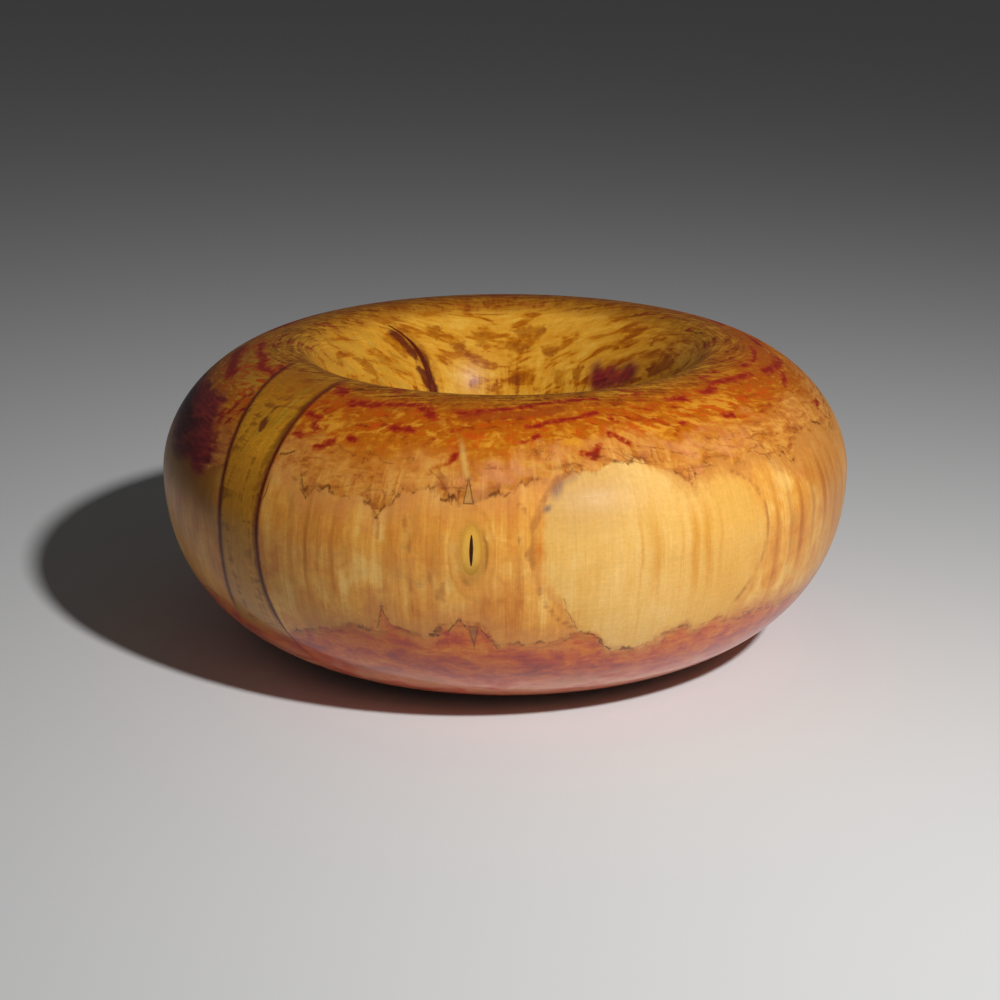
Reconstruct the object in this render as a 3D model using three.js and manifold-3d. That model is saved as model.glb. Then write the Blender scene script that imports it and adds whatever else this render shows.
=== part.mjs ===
// A turned wooden vessel: one hollow ring-shaped body with a rolled-in rim, turned from a single log with the
// grain upright. Three drying checks in the wood are filled with dark filler, and one branch knot sits in
// the wall with a filled slit of its own.
// Millimetres, +Z up. The origin is the middle of the foot, on the surface that the vessel stands on, and
// the knot is on the -Y side. Azimuths are degrees from -Y, positive towards +X.

import * as THREE from "three";
import { mergeVertices } from "three/addons/utils/BufferGeometryUtils.js";
import Module from "manifold-3d";

// Outside of the body
const OUTER_RADIUS = 200;
const HEIGHT = 172;
const WIDEST_HEIGHT = 103;
const CREST_RADIUS = 125;
const FOOT_RADIUS = 93;
const SHOULDER_POWER = 1.86;
const BELLY_POWER = 2.2;

// Rolled-in rim: a tight arc off the crest, then a slow arc that ends upright at the throat
const CREST_ARC = 17;
const CREST_TURN = THREE.MathUtils.degToRad(34);
const FUNNEL_ARC = 99;

// Walls and underside
const WALL = 11;
const FLOOR_HEIGHT = 12;
const RECESS_DEPTH = 2;
const RECESS_RADIUS = 76;
const RECESS_SLOPE = 2;

// Fineness of the turned surfaces
const ROUND_STEPS = 64;
const SHOULDER_STEPS = 9;
const BELLY_STEPS = 10;
const CREST_STEPS = 4;
const FUNNEL_STEPS = 8;
const LIP_STEPS = 4;
const INSIDE_STEPS = 6;

// Filled checks: how deep the filler goes, how far its ends narrow, and the clearance round it
const FILL_DEPTH = 5;
const FILL_END_SHARE = 0.35;
const FILL_STEPS = 18;
const FIT_GAP = 0.3;
const PROUD = 3;

// Outside checks. Their ends are tube angles: 90 on the crest, 0 at the widest, below 0 underneath.
// The azimuth is the one at the widest, and bow adds to it with the square of the tube angle.
const SIDE_CHECK = { width: 1.4, from: -28, to: 82, azimuth: -49.8, bowAbove: -0.0022, bowBelow: -0.0022 };
const FRONT_CHECK = { width: 1.6, from: -44, to: 78, azimuth: -40.8, bowAbove: -0.0003, bowBelow: 0.002 };

// Funnel check. Its ends are shares of the slow arc, and its azimuth swings round above a given radius.
const FUNNEL_CHECK = { width: 3.2, from: 0.1, to: 0.86, azimuth: 214, steadyRadius: 82, swing: 0.0125 };

// Branch knot: an upright oval plug that narrows inwards, with an upright slit in its face
const KNOT_AZIMUTH = -4.9;
const KNOT_HEIGHT = 111;
const KNOT = { width: 11, tall: 27, depth: 7, taper: 0.7, sides: 28 };
const SLIT = { width: 1.9, tall: 17, depth: 3.5, taper: 0.8, sides: 16 };

const WOOD = { color: 0xc98a45, roughness: 0.32, metalness: 0 };
const KNOT_WOOD = { color: 0xb98c4c, roughness: 0.35, metalness: 0 };
const FILLER = { color: 0x2c130c, roughness: 0.4, metalness: 0 };

const QUARTER = Math.PI / 2;

const wasm = await Module();
wasm.setup();

// A closed geometry becomes a solid for cutting and joining
function toSolid(geometry) {
  const bare = geometry.clone();
  bare.deleteAttribute("normal");
  bare.deleteAttribute("uv");
  const merged = mergeVertices(bare, 1e-3);
  const corners = merged.index.array;
  const triangles = [];
  for (let i = 0; i < corners.length; i += 3) {
    const [a, b, c] = [corners[i], corners[i + 1], corners[i + 2]];
    if (a !== b && b !== c && c !== a) triangles.push(a, b, c);
  }
  const mesh = new wasm.Mesh({
    numProp: 3,
    vertProperties: new Float32Array(merged.attributes.position.array),
    triVerts: new Uint32Array(triangles),
  });
  return new wasm.Manifold(mesh);
}

// A solid becomes a named mesh with its own material
function toMesh(name, solid, finish) {
  const { vertProperties, triVerts } = solid.getMesh();
  const geometry = new THREE.BufferGeometry();
  geometry.setAttribute("position", new THREE.BufferAttribute(new Float32Array(vertProperties), 3));
  geometry.setIndex(new THREE.BufferAttribute(new Uint32Array(triVerts), 1));
  const mesh = new THREE.Mesh(geometry, new THREE.MeshStandardMaterial(finish));
  mesh.name = name;
  return mesh;
}

// One point of a superellipse quarter: angle 0 points outwards and 90 degrees up
function superellipsePoint(quarter, degrees) {
  const angle = THREE.MathUtils.degToRad(degrees);
  const across = Math.max(Math.cos(angle), 0) ** (2 / quarter.power);
  const up = Math.sign(angle) * Math.abs(Math.sin(angle)) ** (2 / quarter.power);
  return new THREE.Vector2(quarter.x + quarter.width * across, quarter.y + quarter.height * up);
}

function superellipse(quarter, fromDeg, toDeg, steps) {
  const angles = Array.from({ length: steps + 1 }, (_, i) => fromDeg + ((toDeg - fromDeg) * i) / steps);
  return angles.map((angle) => superellipsePoint(quarter, angle));
}

// One point of an arc: angle 0 is its top, and it turns towards the axis
function arcPoint(ring, angle) {
  return new THREE.Vector2(ring.x - ring.radius * Math.sin(angle), ring.y + ring.radius * Math.cos(angle));
}

function arc(ring, from, to, steps) {
  const angles = Array.from({ length: steps + 1 }, (_, i) => from + ((to - from) * i) / steps);
  return angles.map((angle) => arcPoint(ring, angle));
}

// The quarters and arcs that the profile is made of
const shoulder = {
  x: CREST_RADIUS,
  y: WIDEST_HEIGHT,
  width: OUTER_RADIUS - CREST_RADIUS,
  height: HEIGHT - WIDEST_HEIGHT,
  power: SHOULDER_POWER,
};
const belly = {
  x: FOOT_RADIUS,
  y: WIDEST_HEIGHT,
  width: OUTER_RADIUS - FOOT_RADIUS,
  height: WIDEST_HEIGHT,
  power: BELLY_POWER,
};
const crest = { x: CREST_RADIUS, y: HEIGHT - CREST_ARC, radius: CREST_ARC };
const funnel = {
  x: CREST_RADIUS + (FUNNEL_ARC - CREST_ARC) * Math.sin(CREST_TURN),
  y: crest.y - (FUNNEL_ARC - CREST_ARC) * Math.cos(CREST_TURN),
  radius: FUNNEL_ARC,
};
const lip = { x: funnel.x - FUNNEL_ARC + WALL / 2, y: funnel.y, radius: WALL / 2 };

// The surface that a hand can reach from outside: from the foot over the crest to the throat
const outsideProfile = [
  ...superellipse(belly, -90, 0, BELLY_STEPS),
  ...superellipse(shoulder, 0, 90, SHOULDER_STEPS).slice(1),
  ...arc(crest, 0, CREST_TURN, CREST_STEPS).slice(1),
  ...arc(funnel, CREST_TURN, QUARTER, FUNNEL_STEPS).slice(1),
];

// The surface of the hollow: from the lip up behind the funnel, round the wall and down to the floor
function insideProfile() {
  const behindFunnel = { ...funnel, radius: FUNNEL_ARC - WALL };
  const ceiling = { ...shoulder, width: shoulder.width - WALL, height: shoulder.height - WALL };
  const wall = { ...belly, width: belly.width - WALL, height: belly.height - FLOOR_HEIGHT };
  return [
    ...arc(behindFunnel, QUARTER, CREST_TURN, INSIDE_STEPS).slice(1),
    ...superellipse(ceiling, 90, 0, INSIDE_STEPS),
    ...superellipse(wall, 0, -90, INSIDE_STEPS).slice(1),
  ];
}

// The foot is a flat ring round a shallow recess
const footProfile = [
  new THREE.Vector2(0, RECESS_DEPTH),
  new THREE.Vector2(RECESS_RADIUS - RECESS_SLOPE, RECESS_DEPTH),
  new THREE.Vector2(RECESS_RADIUS, 0),
];

// Turns a profile that starts and ends on the axis
function turned(profile) {
  const geometry = new THREE.LatheGeometry(profile, ROUND_STEPS);
  geometry.rotateX(QUARTER);
  return toSolid(geometry);
}

// The body before its checks and its knot are cut
function turnedBody() {
  const edge = arc(lip, QUARTER, QUARTER + Math.PI, LIP_STEPS).slice(1);
  const floorMiddle = new THREE.Vector2(0, FLOOR_HEIGHT);
  return turned([...footProfile, ...outsideProfile, ...edge, ...insideProfile(), floorMiddle]);
}

// The same outside with no hollow, so that what is trimmed to it ends flush with the body
function turnedBlank() {
  return turned([...footProfile, ...outsideProfile, new THREE.Vector2(0, funnel.y)]);
}

function outwardAt(azimuthDeg) {
  const azimuth = THREE.MathUtils.degToRad(azimuthDeg);
  return new THREE.Vector3(Math.sin(azimuth), -Math.cos(azimuth), 0);
}

function acrossAt(azimuthDeg) {
  return outwardAt(azimuthDeg + 90);
}

// A thin sheet that follows a run of the outside profile and narrows towards both ends.
// spotAt gives the profile point and the azimuth for a share of the run; grow widens the sheet all round.
function sheetAlong(spotAt, width, grow) {
  const positions = [];
  const index = [];
  const runLength = spotAt(0).point.distanceTo(spotAt(1).point);
  const overrun = grow / runLength;
  for (let i = 0; i <= FILL_STEPS; i += 1) {
    const share = -overrun + ((1 + 2 * overrun) * i) / FILL_STEPS;
    const { point, azimuth } = spotAt(share);
    const tangent = spotAt(share + 0.01).point.sub(spotAt(share - 0.01).point).normalize();
    const normal = new THREE.Vector2(tangent.y, -tangent.x);
    const fullness = FILL_END_SHARE + (1 - FILL_END_SHARE) * Math.max(Math.sin(Math.PI * share), 0);
    const halfWidth = 0.5 * width * fullness + grow;
    const depth = FILL_DEPTH * fullness + grow;
    for (const [out, across] of [[PROUD, -halfWidth], [PROUD, halfWidth], [-depth, halfWidth], [-depth, -halfWidth]]) {
      const place = point.clone().addScaledVector(normal, out);
      const corner = outwardAt(azimuth).multiplyScalar(place.x);
      corner.addScaledVector(acrossAt(azimuth), across);
      positions.push(corner.x, corner.y, place.y);
    }
  }
  for (let i = 0; i < FILL_STEPS; i += 1) {
    for (let k = 0; k < 4; k += 1) {
      const [a, b] = [4 * i + k, 4 * i + ((k + 1) % 4)];
      index.push(a, b, b + 4, a, b + 4, a + 4);
    }
  }
  const last = 4 * FILL_STEPS;
  index.push(0, 2, 1, 0, 3, 2, last, last + 1, last + 2, last, last + 2, last + 3);
  const geometry = new THREE.BufferGeometry();
  geometry.setAttribute("position", new THREE.Float32BufferAttribute(positions, 3));
  geometry.setIndex(index);
  return toSolid(geometry);
}

// Where an outside check runs
function outsideSpot(check) {
  return (share) => {
    const angle = check.from + (check.to - check.from) * share;
    const bow = angle > 0 ? check.bowAbove : check.bowBelow;
    const point = superellipsePoint(angle > 0 ? shoulder : belly, angle);
    return { point, azimuth: check.azimuth + bow * angle ** 2 };
  };
}

// Where the funnel check runs
function funnelSpot(check) {
  return (share) => {
    const along = check.from + (check.to - check.from) * share;
    const point = arcPoint(funnel, CREST_TURN + (QUARTER - CREST_TURN) * along);
    const swung = Math.max(point.x - check.steadyRadius, 0);
    return { point, azimuth: check.azimuth + check.swing * swung ** 2 };
  };
}

// An upright oval plug pointing outwards through the wall, narrower at its inner end
function ovalPlug(size, grow) {
  const depth = size.depth + grow;
  const geometry = new THREE.CylinderGeometry(1, size.taper, depth + PROUD, size.sides);
  geometry.translate(0, OUTER_RADIUS + (PROUD - depth) / 2, 0);
  geometry.scale(size.width / 2 + grow, 1, size.tall / 2 + grow);
  const up = new THREE.Vector3(0, 0, -1);
  const turn = new THREE.Matrix4().makeBasis(acrossAt(KNOT_AZIMUTH), outwardAt(KNOT_AZIMUTH), up);
  turn.setPosition(0, 0, KNOT_HEIGHT);
  geometry.applyMatrix4(turn);
  return toSolid(geometry);
}

// Each filler is trimmed flush, and its seat in the body is the same sheet grown by the clearance
const blank = turnedBlank();
const fills = [
  ["front_check_fill", outsideSpot(FRONT_CHECK), FRONT_CHECK.width],
  ["side_check_fill", outsideSpot(SIDE_CHECK), SIDE_CHECK.width],
  ["funnel_check_fill", funnelSpot(FUNNEL_CHECK), FUNNEL_CHECK.width],
].map(([name, spotAt, width]) => ({
  name,
  piece: sheetAlong(spotAt, width, 0).intersect(blank),
  seat: sheetAlong(spotAt, width, FIT_GAP),
}));

let body = turnedBody();
for (const { seat } of fills) {
  body = body.subtract(seat);
}
body = body.subtract(ovalPlug(KNOT, FIT_GAP));
const knot = ovalPlug(KNOT, 0).intersect(blank).subtract(ovalPlug(SLIT, FIT_GAP));
const slit = ovalPlug(SLIT, 0).intersect(blank);

const vessel = new THREE.Group();
vessel.add(toMesh("vessel_body", body, WOOD));
for (const { name, piece } of fills) {
  vessel.add(toMesh(name, piece, FILLER));
}
vessel.add(toMesh("branch_knot", knot, KNOT_WOOD));
vessel.add(toMesh("knot_slit_fill", slit, FILLER));

export default vessel;
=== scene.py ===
import math

import bpy
import numpy as np
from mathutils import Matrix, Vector


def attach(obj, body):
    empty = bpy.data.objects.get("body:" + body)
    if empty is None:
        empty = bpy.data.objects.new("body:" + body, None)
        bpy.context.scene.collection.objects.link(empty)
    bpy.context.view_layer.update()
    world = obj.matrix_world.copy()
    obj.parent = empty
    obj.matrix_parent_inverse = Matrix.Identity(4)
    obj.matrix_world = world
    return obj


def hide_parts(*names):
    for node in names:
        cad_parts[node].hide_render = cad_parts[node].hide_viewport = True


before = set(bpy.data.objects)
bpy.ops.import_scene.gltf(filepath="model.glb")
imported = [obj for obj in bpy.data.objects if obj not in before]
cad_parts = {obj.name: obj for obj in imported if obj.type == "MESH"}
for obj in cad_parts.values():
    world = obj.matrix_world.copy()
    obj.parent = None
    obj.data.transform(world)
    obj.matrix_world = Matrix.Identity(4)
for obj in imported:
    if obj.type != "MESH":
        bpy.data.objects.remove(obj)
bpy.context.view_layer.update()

# Everything below is in metres, apart from names that end in _MM or say degrees.
# Azimuths are degrees from -Y, positive towards +X. A run is the distance in millimetres along the
# outside profile: 0 at the edge of the foot, rising over the crest and down into the funnel.
MM = 0.001

# The turned form, as in the frame
OUTER_RADIUS_MM = 200.0
HEIGHT_MM = 172.0
WIDEST_HEIGHT_MM = 103.0
CREST_RADIUS_MM = 125.0
FOOT_RADIUS_MM = 93.0
SHOULDER_POWER = 1.86
BELLY_POWER = 2.2
CREST_ARC_MM = 17.0
CREST_TURN = math.radians(34.0)
FUNNEL_ARC_MM = 99.0
WALL_MM = 11.0
FLOOR_HEIGHT_MM = 12.0
RECESS_DEPTH_MM = 2.0
RECESS_RADIUS_MM = 76.0
RECESS_SLOPE_MM = 2.0
RECESS_RINGS_MM = (2.0, 30.0, 55.0)
FOOT_RING_MM = 84.0
FLOOR_RINGS_MM = (60.0, 30.0, 2.0)

# Fineness of the visual mesh
ROUND_STEPS = 360
OUTSIDE_STEP_MM = 2.6
INSIDE_STEP_MM = 6.0
LIP_POINTS = 9
TANGENT_STEP = 0.01

# Filled checks and the knot, as in the frame
SIDE_CHECK = dict(width=1.4, start=-28.0, end=82.0, azimuth=-49.8, bow_above=-0.0022, bow_below=-0.0022)
FRONT_CHECK = dict(width=1.6, start=-44.0, end=78.0, azimuth=-40.8, bow_above=-0.0003, bow_below=0.002)
FUNNEL_CHECK = dict(width=3.2, start=0.1, end=0.86, azimuth=214.0, steady_radius=82.0, swing=0.0125)
FILL_DEPTH_MM = 5.0
FILL_END_SHARE = 0.35
FILL_STEPS = 90
SEAT_GAP_MM = 0.04
SEAT_ABOVE_MM = 1.0
SUNK_MM = 0.03
KNOT_AZIMUTH = -4.9
KNOT_HEIGHT_MM = 111.0
KNOT = dict(width=11.0, tall=27.0, depth=7.0, taper=0.7)
SLIT = dict(width=1.9, tall=17.0, depth=3.5, taper=0.8)
KNOT_SIDES = 64
KNOT_RINGS = 6


def arc_points(centre, radius, start, end, count):
    """Points of an arc: angle 0 is its top, and it turns towards the axis."""
    angle = np.linspace(start, end, count)
    return np.column_stack([centre[0] - radius * np.sin(angle), centre[1] + radius * np.cos(angle)])


def quarter_points(quarter, degrees):
    """Points of a superellipse quarter: angle 0 points outwards and 90 degrees up."""
    angle = np.radians(degrees)
    across = np.maximum(np.cos(angle), 0.0) ** (2.0 / quarter["power"])
    up = np.sign(angle) * np.abs(np.sin(angle)) ** (2.0 / quarter["power"])
    return np.column_stack([quarter["x"] + quarter["width"] * across, quarter["z"] + quarter["height"] * up])


SHOULDER = dict(
    x=CREST_RADIUS_MM,
    z=WIDEST_HEIGHT_MM,
    width=OUTER_RADIUS_MM - CREST_RADIUS_MM,
    height=HEIGHT_MM - WIDEST_HEIGHT_MM,
    power=SHOULDER_POWER,
)
BELLY = dict(
    x=FOOT_RADIUS_MM,
    z=WIDEST_HEIGHT_MM,
    width=OUTER_RADIUS_MM - FOOT_RADIUS_MM,
    height=WIDEST_HEIGHT_MM,
    power=BELLY_POWER,
)
CREST_CENTRE = (CREST_RADIUS_MM, HEIGHT_MM - CREST_ARC_MM)
FUNNEL_CENTRE = (
    CREST_RADIUS_MM + (FUNNEL_ARC_MM - CREST_ARC_MM) * math.sin(CREST_TURN),
    CREST_CENTRE[1] - (FUNNEL_ARC_MM - CREST_ARC_MM) * math.cos(CREST_TURN),
)
LIP_CENTRE = (FUNNEL_CENTRE[0] - FUNNEL_ARC_MM + WALL_MM / 2, FUNNEL_CENTRE[1])
QUARTER_TURN = math.pi / 2
FINE = 400


def even_steps(points, step):
    """The same line with points an even distance apart."""
    run = np.concatenate([[0.0], np.cumsum(np.hypot(*np.diff(points, axis=0).T))])
    count = max(int(round(run[-1] / step)), 1) + 1
    marks = np.linspace(0.0, run[-1], count)
    return np.column_stack([np.interp(marks, run, points[:, 0]), np.interp(marks, run, points[:, 1])])


def outside_line():
    """The outside profile, finely: foot edge, widest, crest, throat."""
    return np.concatenate([
        quarter_points(BELLY, np.linspace(-90.0, 0.0, FINE)),
        quarter_points(SHOULDER, np.linspace(0.0, 90.0, FINE))[1:],
        arc_points(CREST_CENTRE, CREST_ARC_MM, 0.0, CREST_TURN, FINE)[1:],
        arc_points(FUNNEL_CENTRE, FUNNEL_ARC_MM, CREST_TURN, QUARTER_TURN, FINE)[1:],
    ])


OUTSIDE = outside_line()
OUTSIDE_RUN = np.concatenate([[0.0], np.cumsum(np.hypot(*np.diff(OUTSIDE, axis=0).T))])


def inside_line():
    """The hollow's profile: behind the funnel, round under the shoulder and down the wall to the floor."""
    ceiling = dict(SHOULDER, width=SHOULDER["width"] - WALL_MM, height=SHOULDER["height"] - WALL_MM)
    wall = dict(BELLY, width=BELLY["width"] - WALL_MM, height=BELLY["height"] - FLOOR_HEIGHT_MM)
    return np.concatenate([
        arc_points(FUNNEL_CENTRE, FUNNEL_ARC_MM - WALL_MM, QUARTER_TURN, CREST_TURN, FINE),
        quarter_points(ceiling, np.linspace(90.0, 0.0, FINE)),
        quarter_points(wall, np.linspace(0.0, -90.0, FINE))[1:],
    ])


def body_profile():
    """The closed profile of the body, from the axis underneath to the axis on the floor."""
    recess = [[radius, RECESS_DEPTH_MM] for radius in RECESS_RINGS_MM]
    slope = RECESS_RADIUS_MM - RECESS_SLOPE_MM
    ring = [[slope, RECESS_DEPTH_MM], [RECESS_RADIUS_MM, 0.0], [FOOT_RING_MM, 0.0]]
    lip = arc_points(LIP_CENTRE, WALL_MM / 2, QUARTER_TURN, QUARTER_TURN + math.pi, LIP_POINTS)
    floor = [[radius, FLOOR_HEIGHT_MM] for radius in FLOOR_RINGS_MM]
    return np.concatenate([
        recess,
        ring,
        even_steps(OUTSIDE, OUTSIDE_STEP_MM),
        lip[1:-1],
        even_steps(inside_line(), INSIDE_STEP_MM),
        floor,
    ])


def outward(azimuth):
    """Unit vectors that point out from the axis at an azimuth in degrees."""
    angle = np.radians(azimuth)
    return np.stack([np.sin(angle), -np.cos(angle)], axis=-1)


def spot(radius, height, azimuth, across=0.0):
    """Places in metres, from millimetres and degrees; across is a step sideways."""
    side = outward(np.asarray(azimuth, float) + 90.0)
    flat = outward(azimuth) * np.asarray(radius)[..., None] + side * np.asarray(across)[..., None]
    up = np.broadcast_to(np.asarray(height, float), flat.shape[:-1])
    return np.concatenate([flat, up[..., None]], axis=-1) * MM


def skin(name, loops):
    """A closed mesh from a stack of loops with the same number of points, capped at both ends."""
    count = len(loops[0])
    vertices = [tuple(p) for loop in loops for p in loop]
    faces = []
    for i in range(len(loops) - 1):
        for j in range(count):
            k = (j + 1) % count
            low, high = i * count, (i + 1) * count
            faces.append((low + j, low + k, high + k, high + j))
    last = (len(loops) - 1) * count
    for start, backwards in ((0, True), (last, False)):
        ring = [start + j for j in range(count)]
        middle = len(vertices)
        vertices.append(tuple(np.mean([vertices[j] for j in ring], axis=0)))
        for j in range(count):
            a, b = ring[j], ring[(j + 1) % count]
            faces.append((middle, b, a) if backwards else (middle, a, b))
    mesh = bpy.data.meshes.new(name)
    mesh.from_pydata(vertices, [], faces)
    mesh.update()
    ob = bpy.data.objects.new(name, mesh)
    bpy.context.scene.collection.objects.link(ob)
    return ob


def turned(name, profile):
    """A profile turned round the axis."""
    azimuths = np.arange(ROUND_STEPS) * 360.0 / ROUND_STEPS
    return skin(name, [spot(np.full(ROUND_STEPS, r), z, azimuths) for r, z in profile])


def outside_check(check):
    """Profile points and azimuths of a check on the outside, for shares of its run."""
    def at(share):
        angle = check["start"] + (check["end"] - check["start"]) * share
        above = angle > 0.0
        quarter = SHOULDER if above else BELLY
        bow = check["bow_above"] if above else check["bow_below"]
        return quarter_points(quarter, np.array([angle]))[0], check["azimuth"] + bow * angle ** 2
    return at


def funnel_check(check):
    def at(share):
        along = check["start"] + (check["end"] - check["start"]) * share
        angle = CREST_TURN + (QUARTER_TURN - CREST_TURN) * along
        point = arc_points(FUNNEL_CENTRE, FUNNEL_ARC_MM, angle, angle, 1)[0]
        swung = max(point[0] - check["steady_radius"], 0.0)
        return point, check["azimuth"] + check["swing"] * swung ** 2
    return at


def sheet_along(name, at, width, grow, top):
    """A thin sheet along a run of the outside, narrower at its ends, with its outer face at a height top."""
    loops = []
    overrun = grow / np.linalg.norm(at(0.0)[0] - at(1.0)[0])
    for i in range(FILL_STEPS + 1):
        share = -overrun + (1.0 + 2.0 * overrun) * i / FILL_STEPS
        point, azimuth = at(share)
        tangent = at(share + TANGENT_STEP)[0] - at(share - TANGENT_STEP)[0]
        normal = np.array([tangent[1], -tangent[0]]) / np.linalg.norm(tangent)
        fullness = FILL_END_SHARE + (1.0 - FILL_END_SHARE) * max(math.sin(math.pi * share), 0.0)
        half = 0.5 * width * fullness + grow
        depth = FILL_DEPTH_MM * fullness + grow
        corners = [(top, -half), (top, half), (-depth, half), (-depth, -half)]
        places = [point + normal * out for out, _ in corners]
        loops.append([spot(p[0], p[1], azimuth, side) for p, (_, side) in zip(places, corners)])
    return skin(name, loops)


def outside_radius(height):
    """Radius of the outside wall below the crest, at a height."""
    rising = slice(0, 2 * FINE)
    below = OUTSIDE_RUN <= np.interp(HEIGHT_MM, OUTSIDE[rising, 1], OUTSIDE_RUN[rising])
    return np.interp(height, OUTSIDE[below, 1], OUTSIDE[below, 0])


def oval_loop(width, tall, inset=None, depth=None):
    """An upright oval round the knot's middle, inset from the turned surface or at a depth from the axis."""
    angle = np.arange(KNOT_SIDES) * 2.0 * math.pi / KNOT_SIDES
    across = 0.5 * width * np.cos(angle)
    height = KNOT_HEIGHT_MM + 0.5 * tall * np.sin(angle)
    azimuth = KNOT_AZIMUTH + np.degrees(across / OUTER_RADIUS_MM)
    radius = outside_radius(height) - inset if inset is not None else OUTER_RADIUS_MM - depth + 0.0 * angle
    return spot(radius, height, azimuth)


def oval_plug(name, size, grow, top):
    """A solid oval plug through the wall, narrower at its inner end, its face following the outside."""
    width, tall = size["width"] + 2 * grow, size["tall"] + 2 * grow
    small = size["taper"]
    loops = [oval_loop(width * small, tall * small, depth=size["depth"] + grow)]
    loops.append(oval_loop(width, tall, inset=-top))
    for i in range(1, KNOT_RINGS):
        share = 1.0 - i / KNOT_RINGS
        loops.append(oval_loop(width * share, tall * share, inset=-top))
    return skin(name, loops)


def cut(ob, cutters):
    """Cuts the cutters out of a piece and deletes them."""
    for cutter in cutters:
        modifier = ob.modifiers.new("seat", "BOOLEAN")
        modifier.operation = "DIFFERENCE"
        modifier.solver = "EXACT"
        modifier.object = cutter
    depsgraph = bpy.context.evaluated_depsgraph_get()
    mesh = bpy.data.meshes.new_from_object(ob.evaluated_get(depsgraph))
    ob.modifiers.clear()
    old = ob.data
    ob.data = mesh
    bpy.data.meshes.remove(old)
    for cutter in cutters:
        mesh = cutter.data
        bpy.data.objects.remove(cutter)
        bpy.data.meshes.remove(mesh)


def smooth(ob, sharp_degrees=40.0):
    """Smooth shading with the real edges kept crisp."""
    ob.data.polygons.foreach_set("use_smooth", np.ones(len(ob.data.polygons), bool))
    ob.data.set_sharp_from_angle(angle=math.radians(sharp_degrees))


CHECKS = {
    "front_check_fill": (outside_check(FRONT_CHECK), FRONT_CHECK["width"]),
    "side_check_fill": (outside_check(SIDE_CHECK), SIDE_CHECK["width"]),
    "funnel_check_fill": (funnel_check(FUNNEL_CHECK), FUNNEL_CHECK["width"]),
}


def build_pieces():
    """The body with its seats cut, the fillers and the knot, by node name."""
    pieces = {"vessel_body": turned("body_visual", body_profile())}
    seats = [oval_plug("knot_seat", KNOT, SEAT_GAP_MM, SEAT_ABOVE_MM)]
    for node, (at, width) in CHECKS.items():
        pieces[node] = sheet_along(node + "_visual", at, width, 0.0, -SUNK_MM)
        seats.append(sheet_along(node + "_seat", at, width, SEAT_GAP_MM, SEAT_ABOVE_MM))
    cut(pieces["vessel_body"], seats)
    pieces["branch_knot"] = oval_plug("knot_visual", KNOT, 0.0, -SUNK_MM)
    cut(pieces["branch_knot"], [oval_plug("slit_seat", SLIT, SEAT_GAP_MM, SEAT_ABOVE_MM)])
    pieces["knot_slit_fill"] = oval_plug("slit_visual", SLIT, 0.0, -2 * SUNK_MM)
    for ob in pieces.values():
        smooth(ob)
    return pieces


# The figure of the wood, as outlines of (azimuth, run). The sapwood is the pale band round the widest part.
SAPWOOD_TOP = [
    (-176, 203), (-171, 208), (-168, 196), (-163, 199), (-158, 206), (-152, 201), (-149, 193), (-143, 196),
    (-138, 207), (-131, 211), (-127, 203), (-122, 198), (-117, 204), (-111, 209), (-105, 201), (-100, 192),
    (-90, 189), (-75, 193), (-65, 196), (-58, 192), (-52, 196), (-47, 205), (-41, 209), (-37, 206),
    (-34, 203), (-33, 198), (-32, 193), (-31.4, 198), (-29, 201), (-28, 198), (-25, 198), (-23, 199.5),
    (-20.6, 197), (-19.6, 190), (-18, 196), (-16.5, 204), (-14, 205), (-12.5, 208), (-11, 209), (-10.4, 203),
    (-8, 201), (-7, 199), (-6.4, 200), (-4.6, 200), (-2, 203), (0, 206), (4, 211), (8, 215),
    (13, 216), (19, 220), (23, 219), (27, 212), (30, 203.5), (32, 206), (34, 210), (38, 214),
    (40, 208), (44, 211), (48, 214), (49.5, 204), (52, 206), (54, 199), (57, 209), (60, 212),
    (64, 208), (67, 214), (71, 206), (75, 200), (80, 204), (86, 211), (92, 214), (97, 206),
    (102, 197), (108, 200), (113, 209), (119, 214), (126, 217), (132, 210), (137, 200), (143, 197),
    (149, 206), (154, 210), (159, 202), (163, 197), (168, 205), (173, 210), (179, 206),
]
SAPWOOD_BOTTOM = [
    (-174, 121), (-166, 127), (-160, 119), (-153, 116), (-147, 125), (-141, 130), (-136, 121),
    (-128, 114), (-120, 118), (-113, 127), (-106, 124), (-98, 115), (-90, 110), (-80, 112), (-68, 116),
    (-58, 117), (-50, 114), (-45, 111), (-41, 108), (-38, 110), (-35, 115), (-32, 119), (-29.5, 122),
    (-27, 125), (-25.8, 128), (-23, 127), (-21.5, 126), (-19.8, 128), (-18.6, 142), (-17.6, 131),
    (-14, 127), (-12.4, 124), (-10.4, 128), (-9.4, 136), (-8.4, 131), (-6.9, 138), (-5.8, 133),
    (-3.8, 134), (-2.6, 127), (-0.8, 121), (2, 123), (5, 121), (7.5, 122), (10, 127), (12.4, 128),
    (14.2, 124), (15.6, 118), (16.8, 113), (21, 112), (24, 114), (26, 121), (28, 124.5), (30, 123),
    (31.5, 119), (33.5, 121), (35.5, 124), (38, 121), (43, 122), (48, 121), (55, 117), (62, 115),
    (70, 119), (78, 123), (85, 117), (93, 112), (101, 116), (108, 124), (115, 128), (121, 119),
    (127, 114), (135, 117), (141, 125), (148, 129), (154, 121), (160, 115), (168, 118), (174, 125),
    (180, 123),
]
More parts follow.
